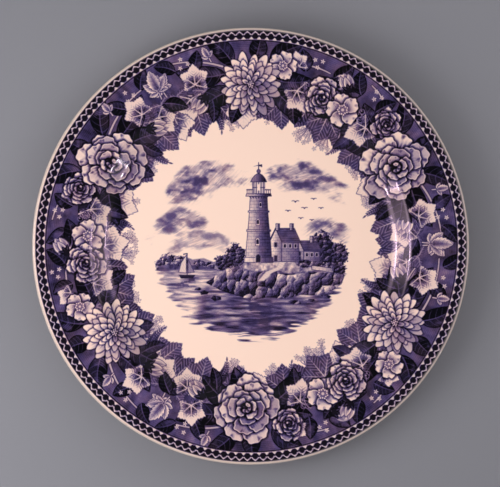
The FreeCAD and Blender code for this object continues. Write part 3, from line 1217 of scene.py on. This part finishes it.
def sea():
    """Water out to the view's round lower edge, where its swell frays into single strokes."""
    spot, w = patch(-30j, 56)
    w = w - 30j
    swell = rough(1.3, 41, spot, 4, 6)
    deep = smooth(-w.imag, 14, 50)
    fray = rough(1.1, 43, spot, 2, 8) - 0.5
    reach = np.hypot(w.real, 1.06 * w.imag) + 9 * fray
    water = inside(w.imag - HORIZON, 0.12) * inside(reach - VIEW + 1.5, 0.9)
    tone = 0.37 + 0.34 * deep + 1.35 * (swell - 0.5) + 0.26 * (hatch(w, 0, 0.8) - 0.5)
    glint = smooth(-np.abs(w.real + 30 - 0.25 * (w.imag - HORIZON)), -9, -2) * smooth(-w.imag, 13, 22)
    lay(spot, water, np.clip(tone - 0.2 * glint, 0.02, 0.95))
    lay(spot, water * inside(np.abs(w.imag - HORIZON) - 0.12), 0.6)


# %% the headland
HEADLAND = [
    -25 - 20j, -21 - 17.5j, -17 - 13.5j, -12 - 12j, -8 - 8.6j, 0 - 7.6j, 14 - 7.8j, 30 - 8.6j, 41 - 10.2j,
    48 - 12.5j, 51 - 16j, 49 - 21j, 43 - 25j, 36 - 27j, 27 - 26.5j, 19 - 29j, 9 - 28j, 0 - 29.5j, -8 - 27j,
    -15 - 25j, -21 - 22j]
TURF = [
    -9 - 9.4j, 0 - 7.2j, 14 - 7.2j, 30 - 8j, 42 - 9.8j, 48 - 12.6j, 44 - 15j, 34 - 14j, 22 - 15.5j,
    12 - 13.5j, 2 - 14.5j, -6 - 12.5j]
PATH = [15.5 - 8.5j, 18.5 - 8.5j, 17 - 12j, 11 - 15j, 7 - 19j, 3.5 - 19.2j, 8 - 14j, 14 - 11.5j]
ROCKS = ((-29, -23.5), (-25.5, -25.5), (-19, -28.5), (33, -29.5), (41, -27.5), (24, -30.5))


def headland():
    """Rock, turf and a path, with the tower's broken image in the water below them."""
    spot, w = patch(8 - 38j, 22)
    w = w + 8 - 38j
    wobble = 1.6 * (rough(0.8, 51, spot, 2, 8) - 0.5)
    broken = inside(np.abs(w.real - 5 + 2.5 * wobble) - 7 - 0.12 * (w.imag + 30), 0.8)
    broken = broken * smooth(-w.imag, 27, 30) * smooth(w.imag, -50, -44)
    lay(spot, 0.85 * broken * smooth(rough(0.9, 53, spot, 2, 7), 0.32, 0.5), 0.82)
    crag(HEADLAND, 61)
    turf = mottled(0.34, 1.6, 0.9, 63, 3)
    shape(TURF, lambda w, gap, spot: turf(w, gap, spot) + 0.3 * smooth(gap, -1.2, 0), 0.5)
    shape(PATH, even(0.10, 0.06, 20, 0.8), 0.3)
    for number, (x, y) in enumerate(ROCKS):
        size = 1.6 + 0.5 * (number % 3)
        rock = [complex(x, y) + size * ray(72 * k + 20 * number) * (1.1 if k % 2 else 0.8) for k in range(5)]
        crag([complex(p.real + 0.5 * (p.real - x), y + 0.6 * (p.imag - y)) for p in rock], 70 + number, 0.7)


# %% the lighthouse
TOWER = 4.0                        # where its axis stands
TOWER_LEFT, TOWER_RIGHT = TOWER - 7, TOWER + 6.6
WINDOW = (-1 - 1.9j, 1 - 1.9j, 1 + 0.9j, 0.6 + 1.6j, 0 + 1.9j, -0.6 + 1.6j, -1 + 0.9j)
DOOR = (-1.6 - 9j, 1.2 - 9j, 1.2 - 5.2j, -0.2 - 4.1j, -1.6 - 5.2j)
GALLERY = (-7 + 27.2j, 7 + 27.2j, 6.6 + 28.6j, -6.6 + 28.6j)
CAP = (
    -4.4 + 35j, 4.4 + 35j, 3.5 + 36.9j, 2.1 + 38.6j, 0.5 + 39.6j, -0.5 + 39.6j, -2.1 + 38.6j, -3.5 + 36.9j)
VANE = (-2.8 + 43.4j, -0.4 + 43.8j, 1.9 + 43.1j, 1.9 + 44.6j, -0.4 + 44.1j)


def tower_side(height):
    """Half of the tower's width at a height."""
    return 7.2 - 2.6 * smooth(np.float32(height), -9.0, 30.0) ** 0.8


def band(low, high, extra, rule):
    """A piece of the tower between two heights, with its sides on the tower's taper."""
    right = [TOWER + tower_side(y) + extra + 1j * y for y in np.linspace(low, high, 6)]
    left = [TOWER - tower_side(y) - extra + 1j * y for y in np.linspace(high, low, 6)]
    shape([complex(p) for p in right + left], rule, 0.1, 0.85)


def on_tower(points, rule, line=0.0, blur=0.1):
    """A shape whose points are counted from the tower's axis."""
    shape([TOWER + p for p in points], rule, blur, line)


def rod(start, end, width, tone, taper=0.0):
    """A straight bar from the tower's axis."""
    stroke([TOWER + start, TOWER + end], width, tone, 0.1, taper)


def lighthouse():
    """A tapering stone tower with string courses, gallery, lantern, cap, ball and vane."""
    band(-9.0, 27.0, 0.0, masonry(0.12, 0.84, TOWER_LEFT, TOWER_RIGHT))
    for low, high in ((-9.0, -6.2), (8.0, 8.9), (18.4, 19.2)):
        band(low, high, 0.7, masonry(0.05, 0.72, TOWER_LEFT, TOWER_RIGHT, 3.0, 2.2))
    for x, y, size in ((-0.4, 13.2, 1.0), (-0.6, 2.4, 1.15), (1.0, 22.6, 0.85)):
        middle = complex(TOWER + x, y)
        reveal = [middle + size * p for p in WINDOW]
        shape(reveal, even(0.06), 0.1, 0.8)
        shape([middle + 0.62 * (p - middle) for p in reveal], even(0.96))
    on_tower(DOOR, even(0.95), 0.3)
    for k in range(-3, 4):
        bracket = (1.75 * k * 0.72 + 25.6j, 1.75 * k + 0.5 + 27.4j, 1.75 * k - 0.5 + 27.4j)
        on_tower(bracket, even(0.9), blur=0.12)
    on_tower(GALLERY, masonry(0.05, 0.8, TOWER - 7, TOWER + 7, 4, 2), 0.9)
    for k in range(-6, 7):
        rod(1.05 * k + 28.6j, 1.05 * k + 30.6j, 0.3, 0.88)
    rod(-6.5 + 30.7j, 6.5 + 30.7j, 0.45, 0.92)
    on_tower(oblong(-3.3, 3.3, 28.6, 35), even(0.16, 0.05, 80, 0.7), 0.9)
    for k in range(-2, 3):
        rod(1.3 * k + 28.6j, 1.3 * k + 35j, 0.34, 0.85)
    rod(-3.3 + 31.9j, 3.3 + 31.9j, 0.34, 0.85)
    on_tower(oblong(-0.8, 0.8, 30.2, 33.8), even(0.02), blur=0.2)
    on_tower(CAP, lambda w, gap, spot: (
        0.42 + 0.5 * smooth(w.real - TOWER, -2.5, 3.5) + 0.12 * hatch(w, 90, 0.9)), 0.92)
    rod(39.4j, 45.5j, 0.5, 0.92, 0.3)
    dot(TOWER + 40.8j, 0.85, 0.6, 0.95)
    on_tower(VANE, even(0.9), blur=0.12)


# %% the keeper's houses
def house(left, right, ground_y, eaves, ridge, gable, chimneys):
    """A stone house: a gable end that faces the light, and a long side in half shade."""
    peak = (left + gable) / 2
    end = oblong(left, gable, ground_y, eaves)
    shape([*end[:3], complex(peak, ridge), end[3]], masonry(0.04, 0.34, left, gable, 1.5, 2.4), 0.1, 0.88)
    shape(oblong(gable, right, ground_y, eaves), masonry(0.36, 0.62, gable, right, 1.5, 2.4), 0.1, 0.88)
    top, foot = ridge + 0.5, eaves - 0.5
    roof = [complex(peak - 0.2, top), complex(peak + right - gable + 0.6, top)]
    roof += [complex(right + 0.9, foot), complex(gable + 0.4, foot)]
    shape(roof, lambda w, gap, spot: (
        0.62 + 0.22 * hatch(w, 0, 1.0) + 0.25 * (rough(1.8, 77, spot, 2) - 0.5)), 0.1, 0.92)
    stroke([complex(left - 0.7, eaves - 0.6), complex(peak, top)], 0.7, 0.85, 0.1)
    for x in chimneys:
        shape(oblong(x, x + 2.0, ridge - 0.6, ridge + 3), masonry(0.15, 0.8, x, x + 2.0, 1.2, 1.4), 0.1, 0.92)
    spacing = right - gable
    dark = [(gable + spacing * (0.2 + 0.3 * k), 0.7, eaves - 3.6, eaves - 1.5, 0.97, 0.1) for k in range(3)]
    dark.append((peak, 0.8, eaves - 3.2, eaves - 0.6, 0.95, 0.5))
    dark.append((peak, 0.9, ground_y, ground_y + 3.4, 0.9, 0.5))
    for x, half, low, high, tone, line in dark:
        shape(oblong(x - half, x + half, low, high), even(tone), 0.1, line)


def station():
    """The two houses, a garden wall and the trees and bushes round them."""
    bush(46 - 5j, 13, 14, 81, 0.76)
    bush(39 - 1.5j, 13, 18, 82, 0.84)
    stroke([39 - 8j, 39.4 - 4j], 0.9, 0.92)
    house(24.0, 37.5, -9.0, -2.2, 2.4, 28.5, (32.0,))
    house(10.2, 26.0, -8.5, 2.6, 9.2, 16.4, (13.4, 21.0))
    bush(-8.5 - 5.5j, 11, 13, 84, 0.80)
    bush(-15 - 9.2j, 11, 8, 85, 0.86)
    bush(29 - 9.6j, 9, 4.5, 86, 0.84)
    bush(35.5 - 10.2j, 9, 4.0, 87, 0.78)
    wall = [33 - 12.8j, 49.5 - 15.4j, 49.5 - 12.8j, 33 - 10.6j]
    shape(wall, masonry(0.10, 0.42, 33, 49, 1.2, 2.0), 0.1, 0.85)
    bush(48 - 13j, 8, 6, 88, 0.84)


# %% the sailing boat
BOAT = -35 - 16.5j


def sailing_boat():
    """A sailing boat out on the water, and its marks on the swell."""
    def on_boat(points, rule, line=0.0):
        shape([BOAT + p for p in points], rule, 0.1, line)

    on_boat((-4.6 + 0.8j, 4.4 + 0.8j, 3.2 - 1.2j, -3.4 - 1.2j), even(0.94))
    stroke([BOAT + 0.8j, BOAT + 12.4j], 0.4, 0.92, 0.1)
    on_boat((-0.5 + 1.8j, -4.6 + 2.2j, -3.2 + 7.4j, -0.5 + 11.6j), even(0.10, 0.06, 70, 0.8), 0.8)
    on_boat((0.5 + 1.8j, 3.9 + 2.2j, 0.5 + 9.4j), even(0.42, 0.1, 60, 0.7), 0.85)
    stroke([BOAT + 12.4j, BOAT - 2.0 + 12.0j], 0.5, 0.9, 0.1)
    rng = np.random.default_rng(5)
    for k in range(8):
        mark = BOAT + complex(8 * (rng.random() - 0.5), -1.6 - 0.62 * k)
        stroke([mark - 1.5, mark + 1.5], 0.42, 0.9 - 0.03 * k, 0.12)


def view():
    """The whole view, from far to near, with its heaviest ink a little lighter than the border's."""
    for step in (sky, sea, headland, station, lighthouse, sailing_boat):
        step()
    spot, _ = patch(0j, VIEW + 6)
    ink[spot] -= 0.08 * ink[spot] ** 4


# %% print the border and the view
border()
view()
print(f"sheet: {ink.shape}, {float((ink > 0.3).mean()):.0%} inked")


# %% [markdown]
# ### Laying the print on the glaze
#
# A transfer print is damp tissue laid on the plate from above and rubbed down. The same happens here:
# each point of the shiny side looks straight down on the sheet and takes the tone it finds there,
# as an attribute called ink. The underside and the hidden sides take none.

# %% the print as an attribute
PRINT_SHIFT = 0.35                 # mm that the tissue was laid off centre
ABOVE_CLAY = 0.1                   # the shiny side lies higher than this, and the hidden one lower


def between(column, row):
    """The sheet's tone between its dots, blended from the nearest four."""
    left = np.clip(np.floor(column).astype(int), 0, ink.shape[1] - 2)
    low = np.clip(np.floor(row).astype(int), 0, ink.shape[0] - 2)
    right_part = np.clip(column - left, 0, 1)
    up_part = np.clip(row - low, 0, 1)
    below = ink[low, left] * (1 - right_part) + ink[low, left + 1] * right_part
    above = ink[low + 1, left] * (1 - right_part) + ink[low + 1, left + 1] * right_part
    return below * (1 - up_part) + above * up_part


def lay_print(piece):
    """Give every point the tone of the sheet above it."""
    x, y, z = read(piece.data.vertices, "co", 3, float).T / MM
    clay = np.interp(np.hypot(x, y), profile[:edge_row, 0], profile[:edge_row, 1])
    tone = between((x - PRINT_SHIFT + HALF) / DOT - 0.5, (y + HALF) / DOT - 0.5)
    tone = np.where(z > clay + ABOVE_CLAY, tone, 0.0)
    layer = piece.data.attributes.new("ink", "FLOAT", "POINT")
    layer.data.foreach_set("value", tone.astype(np.float32))
    print(f"{piece.name}: {float((tone > 0.3).mean()):.0%} of its points inked")


printed_pieces = (well_middle, well_ring, cavetto_ring, verge_ring, rim_ring, edge_ring)
for printed in printed_pieces:
    lay_print(printed)


# %% [markdown]
# ### Finishes
#
# Under the glaze the ware is a warm cream, and the print runs from a thin grey-mauve wash through violet
# to almost black. The glass coat on top is smooth and very slightly wavy. It is the shader's coat
# layer, so the print keeps its soft look under a sharp shine.

# %% finish helpers
def srgb(red, green, blue):
    """A colour as a shader wants it, from 0-255 values as seen."""
    shares = [value / 255 for value in (red, green, blue)]
    return (*(x / 12.92 if x <= 0.04045 else ((x + 0.055) / 1.055) ** 2.4 for x in shares), 1.0)


def feed(tree, sockets, values):
    """Sets sockets, by name or number, each to a number, a colour or another node's output."""
    for key, value in values.items():
        if isinstance(value, bpy.types.NodeSocket):
            tree.links.new(value, sockets[key])
        else:
            sockets[key].default_value = value


def add(tree, kind, values, output, **settings):
    """A shader node, fed and set up. Returns one of its outputs."""
    node = tree.nodes.new("ShaderNode" + kind)
    for key, value in settings.items():
        setattr(node, key, value)
    feed(tree, node.inputs, values)
    return node.outputs[output]


def add_noise(tree, scale, detail=2.0, roughness=0.5):
    """A noise that is fixed to the piece, with its scale in waves to the metre."""
    where = add(tree, "TexCoord", {}, "Object")
    inputs = {"Vector": where, "Scale": scale, "Detail": detail, "Roughness": roughness}
    return add(tree, "TexNoise", inputs, "Fac")


def add_ramp(tree, source, *stops):
    """A colour ramp. Each stop is a position with a colour, or with a number, which makes a grey."""
    colour = add(tree, "ValToRGB", {"Fac": source}, "Color")
    stripe = colour.node.color_ramp.elements
    stripe.remove(stripe[1])
    for number, (position, tone) in enumerate(stops):
        stop = stripe.new(position) if number else stripe[0]
        stop.position = position
        stop.color = tone if isinstance(tone, tuple) else (tone, tone, tone, 1.0)
    return colour


def add_math(tree, first, operation, second):
    """One sum with two numbers or outputs."""
    return add(tree, "Math", {0: first, 1: second}, "Value", operation=operation)


def add_blend(tree, share, first, second, way="MIX"):
    """Two colours blended by a share."""
    values = {"Factor": share, 6: first, 7: second}
    return add(tree, "Mix", values, 2, data_type="RGBA", blend_type=way)


def add_bump(tree, strength, height):
    """A bump a tenth of a millimetre deep."""
    return add(tree, "Bump", {"Strength": strength, "Distance": 0.1 * MM, "Height": height}, "Normal")


def add_radius(tree):
    """How far out from the plate's axis a point lies, with 1 at the plate's edge."""
    to_edge = 1 / (MM * plate_diameter / 2)
    values = {0: add(tree, "TexCoord", {}, "Object"), 1: (to_edge, to_edge, 0)}
    flat = add(tree, "VectorMath", values, "Vector", operation="MULTIPLY")
    return add(tree, "VectorMath", {0: flat}, "Value", operation="LENGTH")


def new_finish(name):
    """A material with its node tree and its shader's inputs."""
    finish = bpy.data.materials.new(name)
    finish.use_nodes = True
    return finish, finish.node_tree, finish.node_tree.nodes["Principled BSDF"].inputs


def glass_coat(tree, inputs, colour):
    """The clear coat over a colour: smooth, with the faint waves of a glaze that flowed in the kiln."""
    feed(tree, inputs, {
        "Base Color": colour,
        "Roughness": 0.55,
        "Specular IOR Level": 0.0,
        "Coat Weight": 1.0,
        "Coat Roughness": 0.07,
        "Coat IOR": 1.5,
        "Coat Normal": add_bump(tree, 0.35, add_noise(tree, 90)),
    })


# %% printed glaze
CREAM = srgb(253, 219, 201)
BLUE_INK = (
    (0.0, CREAM), (0.15, srgb(203, 176, 178)), (0.35, srgb(149, 128, 148)), (0.55, srgb(94, 78, 121)),
    (0.75, srgb(58, 47, 86)), (0.9, srgb(27, 22, 40)), (1.0, srgb(3, 3, 7)),
)
MAUVE_INK = (
    (0.0, CREAM), (0.15, srgb(208, 175, 172)), (0.35, srgb(160, 130, 144)), (0.55, srgb(112, 84, 118)),
    (0.75, srgb(76, 58, 84)), (0.9, srgb(33, 24, 36)), (1.0, srgb(4, 3, 5)),
)
# How far the ink leans to mauve, by the share of the plate's radius
LEAN = ((0.0, 0.43), (0.50, 0.43), (0.68, 0.54), (0.85, 0.50), (0.90, 0.45), (0.935, 0.45), (0.95, 0.62))


def make_printed_glaze():
    """Cream ware, the print on it, and the clear coat over both."""
    finish, tree, inputs = new_finish("printed_glaze")
    tone = add(tree, "Attribute", {}, "Fac", attribute_name="ink")

    # A fine grain breaks up the middle tones and leaves bare ware and full ink alone.
    speckle = add_math(tree, add_noise(tree, 2400), "SUBTRACT", 0.5)
    middling = add_math(tree, tone, "MULTIPLY", add_math(tree, 1.0, "SUBTRACT", tone))
    speckle = add_math(tree, speckle, "MULTIPLY", add_math(tree, middling, "MULTIPLY", 1.1))
    toned = add_math(tree, tone, "ADD", speckle)

    radius = add_radius(tree)
    lean = add_math(tree, add_ramp(tree, radius, *LEAN), "SUBTRACT", 0.5)
    hue = add_math(tree, add_noise(tree, 130, 3), "ADD", lean)
    hue = add_ramp(tree, hue, (0.38, 0), (0.66, 1))
    colour = add_blend(tree, hue, add_ramp(tree, toned, *BLUE_INK), add_ramp(tree, toned, *MAUVE_INK))

    # The very edge is painted a darker grey, a painted shade where it rounds away from the light, and the
    # edge band leans to blue.
    painted_edge_shade = add_ramp(tree, radius, (0.982, 0), (0.990, 0.5), (1.0, 1))
    # painted shade: the grey that darkens the outermost rim of the face
    colour = add_blend(tree, painted_edge_shade, colour, srgb(172, 162, 156))
    on_band = add_ramp(tree, radius, (0.942, 0), (0.948, 1), (0.98, 1), (0.985, 0))
    colour = add_blend(tree, on_band, colour, (0.94, 1.04, 1.08, 1), "MULTIPLY")
    glass_coat(tree, inputs, colour)
    return finish


# %% plain glaze and bare clay
WHITE = (1, 1, 1, 1)


def make_plain_glaze():
    """The unprinted back: the same cream, a little uneven, with a few specks from the firing."""
    finish, tree, inputs = new_finish("plain_glaze")
    cream = add_ramp(tree, add_noise(tree, 45, 4), (0.3, srgb(248, 216, 197)), (0.7, srgb(254, 223, 205)))
    specks = add_ramp(tree, add_noise(tree, 700, 0), (0.0, (0.5, 0.36, 0.28, 1)), (0.16, WHITE))
    glass_coat(tree, inputs, add_blend(tree, 1.0, cream, specks, "MULTIPLY"))
    return finish


def make_bare_clay():
    """Once-fired clay where the coat is wiped or broken away: matt, pale, grainy."""
    finish, tree, inputs = new_finish("bare_clay")
    tones = (0.25, srgb(203, 170, 150)), (0.5, srgb(226, 198, 180)), (0.75, srgb(238, 216, 200))
    clay = add_ramp(tree, add_noise(tree, 160, 5, 0.65), *tones)
    pits = add_ramp(tree, add_noise(tree, 1500), (0.3, (0.55, 0.5, 0.45, 1)), (0.42, WHITE))
    feed(tree, inputs, {
        "Base Color": add_blend(tree, 1.0, clay, pits, "MULTIPLY"),
        "Roughness": 0.88,
        "Normal": add_bump(tree, 0.6, add_noise(tree, 1800, 3)),
    })
    return finish


# %% put the finishes on
def dress(piece, finish, replaced):
    """One finish on the whole piece, which stands for a coat of the frame's."""
    piece.data.materials.clear()
    piece.data.materials.append(finish)
    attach(piece, "root")
    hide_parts(replaced)


printed_glaze = make_printed_glaze()
plain_glaze = make_plain_glaze()
for printed in printed_pieces:
    dress(printed, printed_glaze, "outer_glaze")
dress(back_ring, plain_glaze, "outer_glaze")
for recess_piece in (recess_ring, recess_middle):
    dress(recess_piece, plain_glaze, "recess_glaze")
body = frame["nodes"]["earthenware_body"]
body.data.materials.clear()
body.data.materials.append(make_bare_clay())
print("pieces dressed:", len(printed_pieces) + 4)


# %% [markdown]
# ### Floor, light and camera
#
# The plate lies on a plain grey floor. A wide light overhead, a lamp near the plate on the left and a
# weak one on the right light it, and leave no mirror image. Windows, strips and bulbs on both sides show
# in the glaze alone. They are faint, but for the bulbs, which make the glints. A plain room fills the
# shadows. All in all a colour shows about as it was written. The camera hangs straight above.

# %% floor
nothing_selected()
bpy.ops.mesh.primitive_plane_add(size=8.0, location=(0, 0, 0))
floor = bpy.context.object
floor.name = "floor"
floor_paper, tree, inputs = new_finish("floor_paper")
feed(tree, inputs, {"Base Color": srgb(133, 132, 138), "Roughness": 0.95, "Specular IOR Level": 0.1})
floor.data.materials.append(floor_paper)
print("floor:", floor.dimensions[:2])

# %% lamps
AIM = Vector((0, 0, 0.02))
LILAC = (1.0, 0.7, 0.92)
PALE_LILAC = (1.0, 0.85, 1.0)


def add_lamp(name, azimuth, elevation, distance, width, height, radiance, tint=(1, 1, 1)):
    """A round or oval lamp that looks at the plate, so many times as bright as lit white."""
    turn = math.radians(azimuth)
    rise = math.radians(elevation)
    toward = Vector((math.cos(rise) * math.cos(turn), math.cos(rise) * math.sin(turn), math.sin(rise)))
    data = bpy.data.lights.new(name, "AREA")
    data.shape = "ELLIPSE"
    data.size = width
    data.size_y = height
    data.color = tint
    data.energy = radiance * math.pi * width * height * math.pi / 4
    lamp = bpy.data.objects.new(name, data)
    bpy.context.scene.collection.objects.link(lamp)
    lamp.location = AIM + toward * distance
    lamp.rotation_euler = toward.to_track_quat("Z", "Y").to_euler()
    print(f"{name}: {data.energy:.2f} W")
    return lamp


def add_plain_light(name, azimuth, elevation, distance, size, share):
    """A round lamp that gives the plate this share of full light and leaves no mirror image."""
    spread = 1 + (2 * distance / size) ** 2
    radiance = share * spread / math.sin(math.radians(elevation))
    lamp = add_lamp(name, azimuth, elevation, distance, size, size, radiance)
    lamp.visible_glossy = False


def add_mirrored_light(name, azimuth, elevation, width, height, radiance, tint=LILAC):
    """A lamp that shows in the glaze alone. It fades from its middle to its rim."""
    lamp = add_lamp(name, azimuth, elevation, 1.0, width, height, radiance, tint)
    lamp.visible_diffuse = False
    lamp.data.use_nodes = True
    tree = lamp.data.node_tree
    values = {0: add(tree, "NewGeometry", {}, "Parametric"), 1: (0.5, 0.5, 0.0)}
    off_middle = add(tree, "VectorMath", values, "Value", operation="DISTANCE")
    fade = add_ramp(tree, off_middle, (0.05, 1), (0.3, 0.5), (0.5, 0))
    feed(tree, tree.nodes["Emission"].inputs, {"Strength": fade})


add_plain_light("overhead", 90, 90, 3.0, 9.0, 0.40)
add_plain_light("main", 197, 43, 0.48, 0.40, 0.39)
add_plain_light("right_fill", 30, 30, 0.7, 0.5, 0.11)
add_mirrored_light("left_window", 183, 33, 0.80, 0.42, 8.0)
add_mirrored_light("left_strip", 177, 31, 0.34, 0.035, 80)
add_mirrored_light("left_bulb", 202, 27, 0.045, 0.07, 120)
add_mirrored_light("right_window", 4, 34, 0.65, 0.45, 4.6)
add_mirrored_light("right_strip", -4, 32, 0.20, 0.035, 38)
add_mirrored_light("right_bulb_a", -29, 27.5, 0.035, 0.07, 110, PALE_LILAC)
add_mirrored_light("right_bulb_b", -33, 26, 0.03, 0.05, 90, PALE_LILAC)

# %% world
ROOM_TONES = ((0.0, 0.62), (0.2, 0.50), (0.33, 0.22), (0.75, 0.07), (1.0, 0.05))


def make_room():
    """A plain room: pale towards the horizon and dim overhead, so that deep ink keeps its depth."""
    room = bpy.data.worlds.new("plain_room")
    room.use_nodes = True
    tree = room.node_tree
    way = add(tree, "TexCoord", {}, "Generated")
    height = add(tree, "SeparateXYZ", {"Vector": way}, "Z")
    stops = [(up, (tone, tone, tone * 1.08, 1.0)) for up, tone in ROOM_TONES]
    colour = add_ramp(tree, height, *stops)
    feed(tree, tree.nodes["Background"].inputs, {"Color": colour, "Strength": 1.0})
    return room


bpy.context.scene.world = make_room()
bpy.context.scene.view_settings.view_transform = "Standard"
print("room:", len(ROOM_TONES), "tones from the horizon up")

# %% camera
camera_data = bpy.data.cameras.new("camera")
camera_data.lens = 120
camera_data.sensor_width = 36
camera = bpy.data.objects.new("camera", camera_data)
camera.location = (-0.0003, 0.00145, 0.0224 + 0.894)
bpy.context.scene.collection.objects.link(camera)
bpy.context.scene.camera = camera
print("camera:", f"{camera.location.z:.3f} m above the floor")


bpy.context.view_layer.update()
